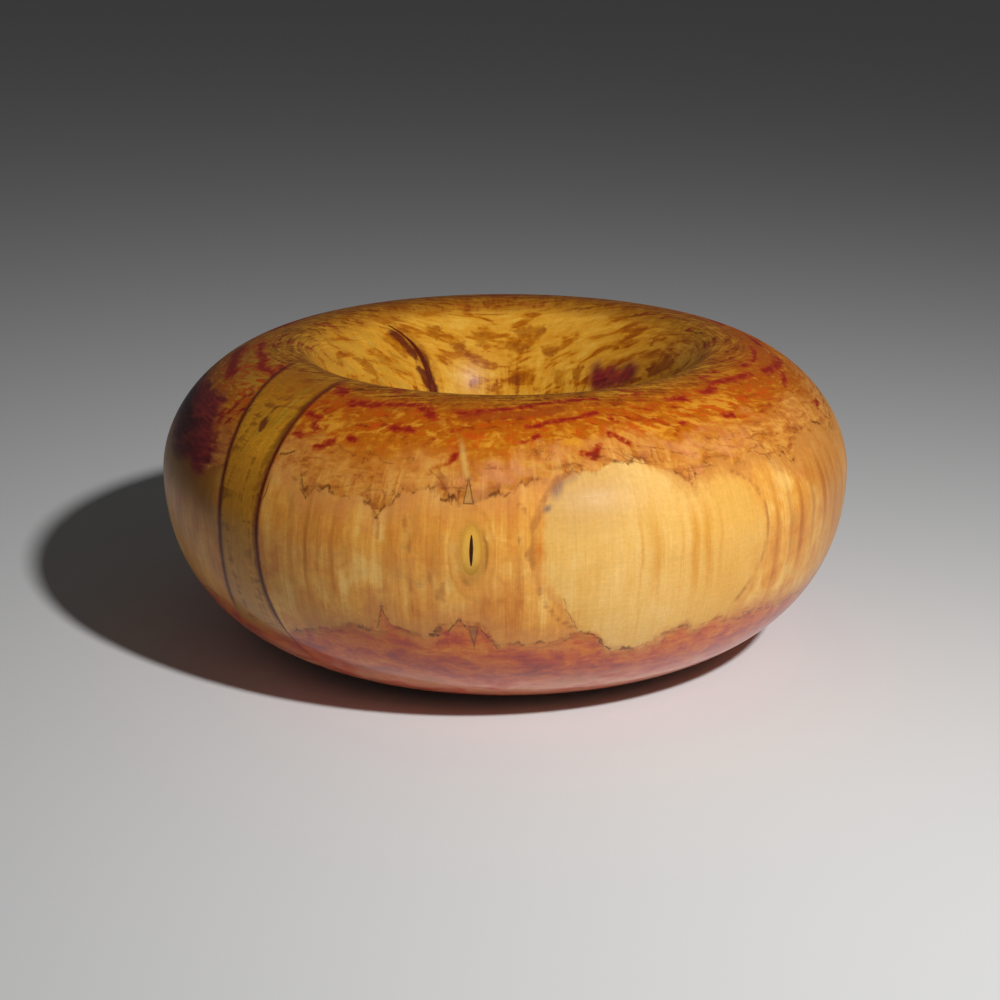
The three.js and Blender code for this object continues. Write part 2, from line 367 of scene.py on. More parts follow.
# Pale ovals inside the sapwood
OVALS = [
    [
        (5.6, 165), (5.2, 180), (5.8, 193), (7, 203), (9, 210), (12, 216), (15, 221), (19, 224),
        (22, 222), (24, 216), (27, 211), (30, 206), (34, 206), (38, 205), (41, 200), (42.6, 191),
        (43.4, 180), (43.6, 168), (43.2, 158), (42.4, 148), (41.4, 138), (40, 129), (38, 120), (32, 112),
        (24, 108), (17, 110), (15.4, 120), (12.5, 127), (11, 131), (10, 140), (8.5, 146), (7, 153),
        (6, 158),
    ],
    [
        (84, 160), (83, 176), (86, 192), (92, 202), (99, 205), (105, 199), (109, 187), (110, 170),
        (107, 152), (101, 139), (94, 134), (88, 141),
    ],
    [
        (137, 155), (135, 172), (138, 189), (146, 199), (155, 201), (163, 194), (167, 178), (166, 160),
        (160, 143), (151, 134), (143, 138),
    ],
    [
        (-148, 158), (-150, 175), (-146, 190), (-138, 200), (-128, 204), (-119, 197), (-114, 182),
        (-113, 164), (-118, 146), (-127, 135), (-138, 138),
    ],
]
# Dark purplish stains; the first one is the large one on the left of the front
STAINS = [
    [
        (-106, 214), (-98, 221), (-88, 226), (-80, 229), (-74, 230), (-69, 232), (-65, 232.5),
        (-63.5, 226), (-62.5, 220), (-61, 214), (-58.5, 208), (-56.6, 203), (-56, 197), (-56.6, 191),
        (-58, 186), (-61, 187), (-63, 191), (-66, 189), (-69, 188), (-74, 190), (-80, 192), (-90, 196),
        (-98, 203),
    ],
    [
        (142, 329), (142, 337), (139, 345), (132, 345), (123, 339), (117, 332), (118, 323), (124, 320.5),
        (127, 327), (133.3, 326.5), (136.5, 331.5), (139.8, 326),
    ],
]
STAIN_CORE = [
    (-98, 208), (-90, 217), (-82, 220), (-76, 217), (-69, 209), (-65, 203), (-70, 199), (-78, 201),
    (-90, 203),
]
# Amber-brown patches in the funnel
AMBER = [
    [(182, 319), (178, 324), (175, 327), (171, 323), (170, 320), (176, 318.5)],
    [(178, 311), (174, 315), (170, 318), (167, 317), (165.6, 310), (166, 306), (172, 307)],
    [(166.5, 322), (164, 327), (161, 328), (158, 323), (157, 320), (163, 319.5)],
    [(210, 305), (207.5, 311), (206, 316), (203.6, 311), (203, 305)],
    [(202, 316), (199, 325), (196, 326), (196, 318)],
    [(192, 311), (191, 321), (187, 323), (186, 313)],
    [(228, 307), (226, 315), (222, 324), (218, 322), (219, 310), (221, 305)],
    [(250, 313), (247, 324), (243, 331), (240, 328), (243, 316)],
    [(160, 336), (157, 345), (153, 345), (154, 335)],
    [(150, 333), (149, 341), (146, 341), (146, 332)],
    [(115, 300), (112, 305), (108, 303), (110, 299)],
    [(40, 318), (34, 330), (24, 333), (20, 322), (30, 314)],
    [(5, 330), (-3, 342), (-14, 338), (-8, 326)],
    [(-38, 312), (-44, 325), (-54, 329), (-58, 317), (-48, 309)],
    [(80, 322), (74, 338), (64, 340), (66, 325)],
]
# Plum-brown marks along the check in the funnel, and flecks in the olive strip
PLUM = [
    [(219.5, 331), (218.5, 338), (216, 347), (212.6, 350), (211.6, 345), (214, 337), (217.6, 330)],
    [(224, 304), (222, 312), (219.6, 322), (217.6, 327), (216.4, 321), (219, 312), (221.4, 303)],
    [(-49.4, 228), (-49.4, 233), (-48.4, 233.4), (-47.6, 230), (-47.2, 225), (-47.8, 221.5), (-48.4, 223)],
    [(-49.4, 235.4), (-50, 239.6), (-48.8, 239.6), (-48.4, 236)],
]
# Red strokes: half width in millimetres, then the line
RED_STROKES = [
    (3.6, [(-33, 256), (-30, 257.5), (-27, 258.5)]),
    (2.4, [(-25.5, 260), (-22, 261), (-20, 261.5)]),
    (3.8, [(-18.5, 262), (-16, 258), (-14.2, 253)]),
    (2.8, [(-21.5, 241), (-19, 241.8), (-17, 241)]),
    (2.6, [(-33.8, 222.5), (-32.6, 223.5), (-31.2, 227)]),
    (2.0, [(-28.6, 231.5), (-27, 230)]),
    (2.2, [(-37.6, 236.5), (-35.6, 232)]),
    (3.6, [(-40.4, 266), (-37, 264)]),
    (2.2, [(-40.4, 241), (-37, 240)]),
    (2.6, [(-39.5, 228), (-38, 227)]),
    (2.2, [(-9.4, 222.5), (-8.6, 226)]),
    (1.6, [(-10, 242), (-8.5, 242.5)]),
    (3.2, [(-9.2, 256.5), (-5.5, 258)]),
    (2.2, [(-5.5, 259.8), (1, 262.5), (5, 264.5), (9, 267.8), (15, 269.6), (20.5, 268.4)]),
    (1.9, [(4, 246), (6, 246.5), (9.5, 250), (14, 251.4), (18.5, 255)]),
    (1.7, [(3, 235), (6.5, 240)]),
    (1.9, [(13, 227), (15, 223.4), (16.4, 231)]),
    (2.0, [(19, 238), (22, 231)]),
    (1.6, [(20.6, 250), (22, 246)]),
    (1.6, [(27, 269), (32.5, 269)]),
    (1.6, [(33.5, 237.5), (35.5, 238)]),
    (3.0, [(36.5, 258), (40, 256)]),
    (3.0, [(46, 256), (50, 257.5)]),
    (2.8, [(52, 262), (60, 258.5), (66, 255)]),
    (2.0, [(69, 262), (78, 259), (90, 261)]),
    (3.2, [(72, 251), (80, 246), (88, 244)]),
    (2.6, [(94, 254), (104, 256)]),
    (1.7, [(52, 270), (59, 269)]),
    (2.6, [(45, 237), (47, 236)]),
    (2.0, [(71, 237), (78, 241)]),
    (2.6, [(75.5, 216), (78.5, 215)]),
    (3.4, [(-73, 259.5), (-62, 260.5)]),
    (2.6, [(-92, 262), (-74, 263.5)]),
    (5.0, [(-96, 247), (-84, 246), (-75, 243)]),
    (2.0, [(-62.5, 245), (-59, 242)]),
    (2.2, [(-60.5, 238), (-60, 226)]),
    (2.0, [(-57, 231), (-58, 221)]),
    (2.6, [(-62, 224), (-60, 216)]),
    (2.2, [(-58.6, 212), (-56.6, 204)]),
    (2.2, [(-67, 268.5), (-63, 267)]),
    (1.7, [(163.6, 304), (158, 310.5), (150, 316.5), (145.5, 321)]),
    (1.0, [(139, 297), (132, 303), (126, 311), (121.5, 318)]),
    (1.6, [(196, 290), (189, 292), (183, 290.5)]),
    (1.5, [(176, 289.5), (166, 291)]),
    (1.6, [(146, 312), (142, 315)]),
    (2.2, [(122, 320), (112, 318), (104, 313)]),
    (4.0, [(150, 252), (166, 256), (182, 251)]),
    (3.0, [(-172, 244), (-158, 240)]),
    (3.6, [(-136, 258), (-120, 262), (-108, 257)]),
    (3.0, [(112, 262), (124, 257), (134, 260)]),
    (2.6, [(-150, 228), (-143, 226)]),
    (2.6, [(126, 232), (133, 228)]),
    (2.4, [(-118, 236), (-110, 232)]),
]
# Soft brown lines of the sapwood, the same way
SOFT_LINES = [
    (2.0, [(2.2, 200), (3.6, 193), (4.3, 184), (4.0, 170), (4.6, 158), (5.8, 147), (7.8, 138), (10.4, 131)]),
    (2.2, [(4.9, 191), (5.4, 198), (6.4, 205), (8.2, 212.5), (10.6, 216)]),
    (2.0, [(39, 205), (42, 198), (43.6, 188), (44.1, 174), (43.5, 158), (41.4, 144), (38.6, 132)]),
    (2.0, [(-15.4, 192), (-14.6, 184), (-13.6, 172), (-13.8, 152)]),
    (1.8, [(-11.2, 163), (-10.6, 156), (-10.0, 149)]),
    (1.6, [(-8.9, 158), (-8.6, 144), (-8.2, 134)]),
    (2.4, [(-20.4, 196), (-19.6, 190), (-19.2, 180)]),
    (1.4, [(1.6, 184), (2.4, 178), (3.2, 172)]),
]
LADDER = (4.6, [(-8, 253.5), (0, 256), (6, 257), (11, 259.5)])
# How finely the checks' lines and the profile are looked up, and the range of what is stored
CHECK_ANGLES = np.linspace(-80.0, 89.0, 170)
FUNNEL_SHARES = np.linspace(0.0, 1.0, 60)
CHART_SKIP = 4
STORED_RANGE = (-60.0, 400.0)


def radius_at(run):
    return np.interp(run, OUTSIDE_RUN, OUTSIDE[:, 0])


def turn_from(azimuth, middle):
    """Degrees from one azimuth to another, from -180 to 180."""
    return (azimuth - middle + 180.0) % 360.0 - 180.0


def line_distance(azimuth, run, points, closed=False):
    """Millimetres from places on the surface to a line of (azimuth, run) points."""
    per_degree = np.radians(1.0) * np.maximum(radius_at(run), 1.0)
    points = np.array(points + points[:1] if closed else points, float)
    ends = []
    for a, s in points:
        ends.append((turn_from(a, azimuth) * per_degree, s - run))
    best = np.full(len(azimuth), np.inf)
    for (ax, ay), (bx, by) in zip(ends[:-1], ends[1:]):
        dx, dy = bx - ax, by - ay
        near = np.abs(dx) < 180.0 * per_degree
        share = np.clip(-(ax * dx + ay * dy) / np.maximum(dx * dx + dy * dy, 1e-9), 0.0, 1.0)
        best = np.where(near, np.minimum(best, np.hypot(ax + share * dx, ay + share * dy)), best)
    return best


def depth_inside(azimuth, run, outline):
    """Millimetres inside a closed outline, negative outside it."""
    middle = np.mean([a for a, _ in outline])
    turn = turn_from(azimuth, middle)
    inside = np.zeros(len(azimuth), bool)
    for (a0, s0), (a1, s1) in zip(outline, outline[1:] + outline[:1]):
        crosses = (s0 > run) != (s1 > run)
        level = (a1 - a0) * (run - s0) / ((s1 - s0) or 1.0) + a0 - middle
        inside ^= crosses & (turn < level)
    distance = line_distance(azimuth, run, outline, closed=True)
    return np.where(inside, distance, -distance)


def depth_in_any(azimuth, run, outlines):
    return np.max([depth_inside(azimuth, run, outline) for outline in outlines], axis=0)


def sapwood_depth(azimuth, run):
    """Millimetres inside the sapwood band, negative above and below it."""
    sides = []
    for line, sign in ((SAPWOOD_TOP, -1.0), (SAPWOOD_BOTTOM, 1.0)):
        edge = np.interp(azimuth, [a for a, _ in line], [s for _, s in line], period=360.0)
        distance = line_distance(azimuth, run, line + line[:1])
        sides.append(np.where((run - edge) * sign > 0.0, distance, -distance))
    return np.minimum(*sides)


def check_offset(azimuth, run, check):
    """Millimetres to the right of an outside check's line, as seen from in front of it."""
    reach = check["end"] - check["start"]
    shares = (CHECK_ANGLES - check["start"]) / reach
    marks = [outside_check(check)(s) for s in shares]
    above = np.array([p[1] - WIDEST_HEIGHT_MM for p, _ in marks])
    line_run = np.interp(above + WIDEST_HEIGHT_MM, OUTSIDE[:2 * FINE - 1, 1], OUTSIDE_RUN[:2 * FINE - 1])
    line = np.interp(run, line_run, [a for _, a in marks])
    return turn_from(azimuth, line) * np.radians(1.0) * radius_at(run)


def funnel_offset(azimuth, run):
    marks = [funnel_check(FUNNEL_CHECK)(share) for share in FUNNEL_SHARES]
    line_run = np.interp([-p[0] for p, _ in marks], -OUTSIDE[2 * FINE:, 0], OUTSIDE_RUN[2 * FINE:])
    line = np.interp(run, line_run, [a for _, a in marks])
    return turn_from(azimuth, line) * np.radians(1.0) * radius_at(run)


def chart_places(mesh):
    """Azimuth and run of each vertex. The run goes on below 0 towards the axis under the foot."""
    flat = np.empty(len(mesh.vertices) * 3)
    mesh.vertices.foreach_get("co", flat)
    place = flat.reshape(-1, 3) / MM
    radius = np.hypot(place[:, 0], place[:, 1])
    azimuth = np.degrees(np.arctan2(place[:, 0], -place[:, 1]))
    half = FOOT_RADIUS_MM * 0.5
    line = np.concatenate([[[0.0, 0.0], [half, 0.0]], OUTSIDE[::CHART_SKIP], OUTSIDE[-1:]])
    line_run = np.concatenate([[-FOOT_RADIUS_MM, -half], OUTSIDE_RUN[::CHART_SKIP], OUTSIDE_RUN[-1:]])
    best = np.full(len(radius), np.inf)
    run = np.zeros(len(radius))
    for i in range(len(line) - 1):
        dx, dy = line[i + 1] - line[i]
        x, y = radius - line[i, 0], place[:, 2] - line[i, 1]
        share = np.clip((x * dx + y * dy) / max(dx * dx + dy * dy, 1e-9), 0.0, 1.0)
        distance = np.hypot(x - share * dx, y - share * dy)
        nearer = distance < best
        best = np.where(nearer, distance, best)
        run = np.where(nearer, line_run[i] + share * (line_run[i + 1] - line_run[i]), run)
    return azimuth, run


def chart_the_wood(mesh):
    """Stores what the wood's material needs to know about each place."""
    azimuth, run = chart_places(mesh)
    red, soft = [[1.0 - line_distance(azimuth, run, line) / width for width, line in lines]
                 for lines in (RED_STROKES, SOFT_LINES)]
    fields = {
        "run": run,
        "sapwood": sapwood_depth(azimuth, run),
        "oval": depth_in_any(azimuth, run, OVALS),
        "stain": depth_in_any(azimuth, run, STAINS),
        "stain_core": depth_inside(azimuth, run, STAIN_CORE),
        "amber": depth_in_any(azimuth, run, AMBER),
        "plum": depth_in_any(azimuth, run, PLUM),
        "red": np.max(red, axis=0),
        "soft_lines": np.max(soft, axis=0),
        "ladder": 1.0 - line_distance(azimuth, run, LADDER[1]) / LADDER[0],
        "front_check": check_offset(azimuth, run, FRONT_CHECK),
        "side_check": check_offset(azimuth, run, SIDE_CHECK),
        "funnel_check": funnel_offset(azimuth, run),
    }
    for name, values in fields.items():
        layer = mesh.attributes.new(name, "FLOAT", "POINT")
        layer.data.foreach_set("value", np.clip(values, *STORED_RANGE).astype(np.float32))


def linear(colour):
    """A colour written as six hex digits, in linear light."""
    parts = [int(colour[i:i + 2], 16) / 255.0 for i in (0, 2, 4)]
    return tuple(p / 12.92 if p <= 0.04045 else ((p + 0.055) / 1.055) ** 2.4 for p in parts) + (1.0,)


class Field:
    """A value at each point of a surface, which its material's nodes work out."""

    def __init__(self, wood, socket):
        self.wood, self.socket = wood, socket

    def __add__(self, other):
        return self.wood.math("ADD", self, other)

    def __radd__(self, other):
        return self.wood.math("ADD", other, self)

    def __sub__(self, other):
        return self.wood.math("SUBTRACT", self, other)

    def __rsub__(self, other):
        return self.wood.math("SUBTRACT", other, self)

    def __mul__(self, other):
        return self.wood.math("MULTIPLY", self, other)

    def __truediv__(self, other):
        return self.wood.math("DIVIDE", self, other)

    def __abs__(self):
        return self.wood.math("ABSOLUTE", self)


class Wood:
    """One material's nodes. Places are azimuth and run, so that the figure wraps round the turned form."""

    AXIS_ZONE_MM = 55.0
    SEED_STEPS = (7.31, 3.17, 5.93)

    def __init__(self, name):
        self.material = bpy.data.materials.new(name)
        self.material.use_nodes = True
        self.tree = self.material.node_tree
        self.shader = self.tree.nodes["Principled BSDF"]
        parts = self.new("ShaderNodeSeparateXYZ")
        self.tree.links.new(self.new("ShaderNodeTexCoord").outputs["Object"], parts.inputs[0])
        self.x, self.y, self.z = [Field(self, socket) / MM for socket in parts.outputs]
        self.radius = self.math("SQRT", self.x * self.x + self.y * self.y)
        self.azimuth = self.math("ARCTAN2", self.x, self.y * -1.0) * math.degrees(1.0)

    def new(self, kind):
        return self.tree.nodes.new(kind)

    def feed(self, socket, value):
        if isinstance(value, Field):
            self.tree.links.new(value.socket, socket)
        elif isinstance(value, str):
            socket.default_value = linear(value)
        else:
            socket.default_value = value

    def feed_all(self, node, *values):
        """Feeds a node's inputs in their order, and gives its first output."""
        for socket, value in zip(node.inputs, values):
            self.feed(socket, value)
        return Field(self, node.outputs[0])

    def math(self, operation, *values, clamp=False):
        node = self.new("ShaderNodeMath")
        node.operation, node.use_clamp = operation, clamp
        return self.feed_all(node, *values)

    def vector(self, operation, first, second):
        node = self.new("ShaderNodeVectorMath")
        node.operation = operation
        second_input = node.inputs["Scale" if operation == "SCALE" else 1]
        for socket, value in ((node.inputs[0], first), (second_input, second)):
            self.feed(socket, value)
        return Field(self, node.outputs["Value" if operation in ("DOT_PRODUCT", "DISTANCE") else "Vector"])

    def least(self, *values):
        result = values[0]
        for value in values[1:]:
            result = self.math("MINIMUM", result, value)
        return result

    def most(self, *values):
        result = values[0]
        for value in values[1:]:
            result = self.math("MAXIMUM", result, value)
        return result

    def rise(self, value, low, high):
        """0 at low, 1 at high, smooth between; low may be the larger."""
        node = self.new("ShaderNodeMapRange")
        node.interpolation_type = "SMOOTHSTEP"
        return self.feed_all(node, value, low, high, 0.0, 1.0)

    def bump(self, value, middle, reach):
        """1 at the middle, falling to 0 at a reach on both sides."""
        return self.rise(abs(value - middle), reach, 0.0)

    def window(self, value, *edges):
        """1 between two edges, each a pair of values between which it rises from 0."""
        return self.rise(value, *edges[:2]) * self.rise(value, *edges[2:])

    def patch(self, azimuth, turn, wide, run, up, tall):
        """1 at a place, falling to 0 all round it: its azimuth and half width, its run and half height."""
        return self.bump(azimuth, turn, wide) * self.bump(run, up, tall)

    def stored(self, name):
        node = self.new("ShaderNodeAttribute")
        node.attribute_type, node.attribute_name = "GEOMETRY", name
        return Field(self, node.outputs["Fac"])

    def wrap(self, run):
        """Sets the coordinates of the noise: round the axis, and along the profile."""
        inner = self.most(self.radius, self.AXIS_ZONE_MM)
        node = self.new("ShaderNodeCombineXYZ")
        self.place = self.feed_all(node, self.x / inner, self.y / inner, run).socket

    def grain(self, around, along, seed, detail=3.0, rough=0.5, distort=0.0):
        """Noise about 0, roughly -1 to 1, in patches 1/around radians wide and along millimetres tall."""
        scaled = self.new("ShaderNodeVectorMath")
        scaled.operation = "MULTIPLY_ADD"
        self.tree.links.new(self.place, scaled.inputs[0])
        scaled.inputs[1].default_value = (around, around, 1.0 / along)
        scaled.inputs[2].default_value = [step * seed for step in self.SEED_STEPS]
        node = self.new("ShaderNodeTexNoise")
        self.tree.links.new(scaled.outputs[0], node.inputs["Vector"])
        node.inputs["Scale"].default_value = 1.0
        node.inputs["Detail"].default_value = detail
        node.inputs["Roughness"].default_value = rough
        node.inputs["Distortion"].default_value = distort
        return (Field(self, node.outputs["Fac"]) - 0.5) * 4.0

    def ramp(self, value, stops, low=0.0, high=1.0):
        """A colour from stops of (value, colour)."""
        node = self.new("ShaderNodeValToRGB")
        self.feed(node.inputs[0], (value - low) / (high - low))
        elements = node.color_ramp.elements
        elements.remove(elements[1])
        for i, (at, colour) in enumerate(stops):
            share = (at - low) / (high - low)
            element = elements[0] if i == 0 else elements.new(share)
            element.position, element.color = share, linear(colour)
        return Field(self, node.outputs[0])

    def paint(self, base, colour, share):
        node = self.new("ShaderNodeMix")
        node.data_type, node.clamp_factor = "RGBA", True
        self.feed(node.inputs["Factor"], share)
        self.feed(node.inputs[6], base)
        self.feed(node.inputs[7], colour)
        return Field(self, node.outputs[2])

    def shade(self, base, amount):
        """Makes a colour lighter or darker by a share: 0.1 is a tenth lighter."""
        node = self.new("ShaderNodeHueSaturation")
        self.feed(node.inputs["Color"], base)
        self.feed(node.inputs["Value"], amount + 1.0)
        return Field(self, node.outputs[0])

    def finish(self, colour, roughness, height, depth_mm, coat=0.0):
        shader = self.shader
        self.feed(shader.inputs["Base Color"], colour)
        self.feed(shader.inputs["Roughness"], roughness)
        shader.inputs["Specular IOR Level"].default_value = SPECULAR_LEVEL
        self.feed(shader.inputs["Coat Weight"], coat)
        shader.inputs["Coat IOR"].default_value = COAT_IOR
        shader.inputs["Coat Roughness"].default_value = COAT_ROUGHNESS
        bump = self.new("ShaderNodeBump")
        bump.inputs["Distance"].default_value = depth_mm * MM
        bump.inputs["Strength"].default_value = 1.0
        self.feed(bump.inputs["Height"], height)
        self.tree.links.new(bump.outputs[0], shader.inputs["Normal"])
        return self.material


# Wood outside the sapwood: run, then its tone there where it is light, middling and dark
HEART = [
    (0, "9a6438", "80502e", "663a22"), (60, "b5703c", "a05a34", "8a4028"),
    (90, "cc7c40", "b85e30", "a04028"), (128, "d68834", "c8742e", "ac5824"),
    (168, "d2923f", "bf7a30", "a0601c"), (200, "cf8a30", "be762a", "9e5518"),
    (216, "ca8028", "b96c1e", "9c4c12"), (232, "ca7e1c", "b4600a", "963c08"),
    (250, "c47612", "ad5305", "902e06"), (265, "be7614", "a65808", "883806"),
    (276, "b06e12", "9e5a08", "7e4006"), (288, "b07618", "a06410", "84480c"),
    (300, "cf9028", "be7814", "a8600c"), (386, "b47418", "985a12", "6a3a10"),
]
# Tones of the olive strip along the run
STRIP = [
    (60, "9a5a1c"), (100, "b0701e"), (120, "c4883a"), (150, "cc8c38"), (166, "cc8a1c"), (182, "bc7c1a"),
    (205, "c2801a"), (216, "ca8a1a"), (235, "c48418"), (250, "b67412"), (268, "aa6a12"), (290, "a06a18"),
]
# First and last run of those tones
HEART_RUNS = (0.0, 390.0)
STRIP_RUNS = (60.0, 300.0)
# Fine dark lines of the figure: width in millimetres, strength, then the line
FINE_LINES = [
    (0.9, 0.9, [(11.6, 128.6), (13.2, 126.4), (14.6, 122), (15.4, 118), (16.9, 112.6)]),
    (0.7, 0.5, [(8.6, 149), (9.6, 140), (11, 131)]),
    (0.8, 0.8, [(-8.7, 129), (-6.9, 137.6), (-5.6, 132)]),
    (0.8, 0.7, [(-3.9, 134), (-2.7, 127), (-0.9, 119)]),
    (0.7, 0.7, [(-19.8, 128), (-18.7, 141), (-17.8, 131)]),
    (0.9, 0.7, [(-34, 203), (-32.1, 193.5), (-31.2, 199)]),
    (0.9, 0.8, [(-40.3, 214), (-38.9, 214.6), (-37.6, 217)]),
    (0.9, 0.7, [(-19.7, 189), (-19.1, 193), (-18.4, 196)]),
    (0.6, 0.4, [(-24, 225), (-21.5, 222), (-20.5, 219), (-18.6, 219)]),
    (0.6, 0.5, [(-30, 225.5), (-28, 223), (-25.6, 221)]),
    (0.7, 0.5, [(18, 220.5), (19.6, 219), (21, 220.5), (24, 217)]),
    (0.7, 0.5, [(45.5, 212), (47.6, 208), (48.8, 202)]),
]
# Streaks of the sapwood, and of the pale oval: azimuth, half width in degrees, strength
SAP_STREAKS = [
    (-31.2, 0.8, 0.9), (-28.8, 0.7, 0.5), (-26.6, 0.7, 0.6), (-34.0, 1.0, 0.4), (-23.6, 0.6, 0.3),
    (-17.6, 2.4, 0.35), (-10.4, 1.2, 0.4), (2.2, 1.2, 0.35), (46.4, 1.0, 0.45), (50.0, 1.1, 0.6),
    (53.4, 1.2, 0.7), (57.0, 1.0, 0.6), (61.5, 1.2, 0.6), (67.0, 1.4, 0.6), (72.0, 1.2, 0.5),
]
OVAL_STREAKS = [
    (29.4, 1.3, 0.85), (31.8, 1.3, 0.8), (22.6, 1.7, 0.6), (20.4, 0.4, 0.5), (27.2, 0.5, 0.45),
    (34.2, 0.6, 0.4),
]
# Grey smudges at the oval's edge: azimuth, run, half width in degrees, half height in millimetres, strength
SMUDGES = [
    (8.2, 208.0, 1.7, 9.0, 0.85), (6.3, 197.0, 1.1, 3.6, 0.85), (10.6, 213.0, 1.8, 5.0, 0.5),
    (17.5, 222.0, 2.4, 4.0, 0.5),
]
HATCH_DEGREES = 0.37
# The figure above the sapwood rises and falls round the axis: how many arches, how high, and where one peaks
ARCHES = 2.0
ARCH_RISE_MM = 28.0
ARCH_AZIMUTH = 3.0
# Where the flames show most gold: azimuth, half width in degrees, run, half height in millimetres
GOLD_ZONES = [
    (-34.0, 11.0, 233.0, 12.0), (24.0, 15.0, 238.0, 11.0), (46.0, 10.0, 247.0, 15.0),
    (-62.0, 12.0, 246.0, 14.0), (100.0, 25.0, 240.0, 14.0), (160.0, 25.0, 236.0, 14.0),
    (-130.0, 25.0, 240.0, 14.0),
]
TOOL_PITCH_MM = 1.1
KNOT_RING = dict(azimuth=-4.85, run=174.5, across=8.6, tall=17.5)
# The sliver above the knot and the wedge below it: degrees left of the front, and their shape
KNOT_SLIVER = dict(left=5.55, start=199.6, half_width=2.7, narrowing=0.19, lean=0.05)
KNOT_WEDGE = dict(left=4.75, start=133.0, half_width=2.3, narrowing=0.17)
# Millimetres to a degree at the knot's height, where the wall is widest
MM_PER_DEGREE = 3.46


def line_mask(wood, place, lines):
    """How strongly the fine lines mark a place, from 0 to 1."""
    marks = []
    for width, strength, points in lines:
        nearest = []
        for (a0, s0), (a1, s1) in zip(points[:-1], points[1:]):
            start = Vector((a0 * MM_PER_DEGREE, s0, 0.0))
            step = Vector((a1 * MM_PER_DEGREE, s1, 0.0)) - start
            away = wood.vector("SUBTRACT", place, start)
            share = wood.vector("DOT_PRODUCT", away, step / step.length_squared)
            share = wood.math("ADD", share, 0.0, clamp=True)
            foot = wood.vector("SCALE", step, share)
            nearest.append(wood.vector("DISTANCE", away, foot))
        marks.append(wood.rise(wood.least(*nearest), width, 0.25 * width) * strength)
    return wood.most(*marks)


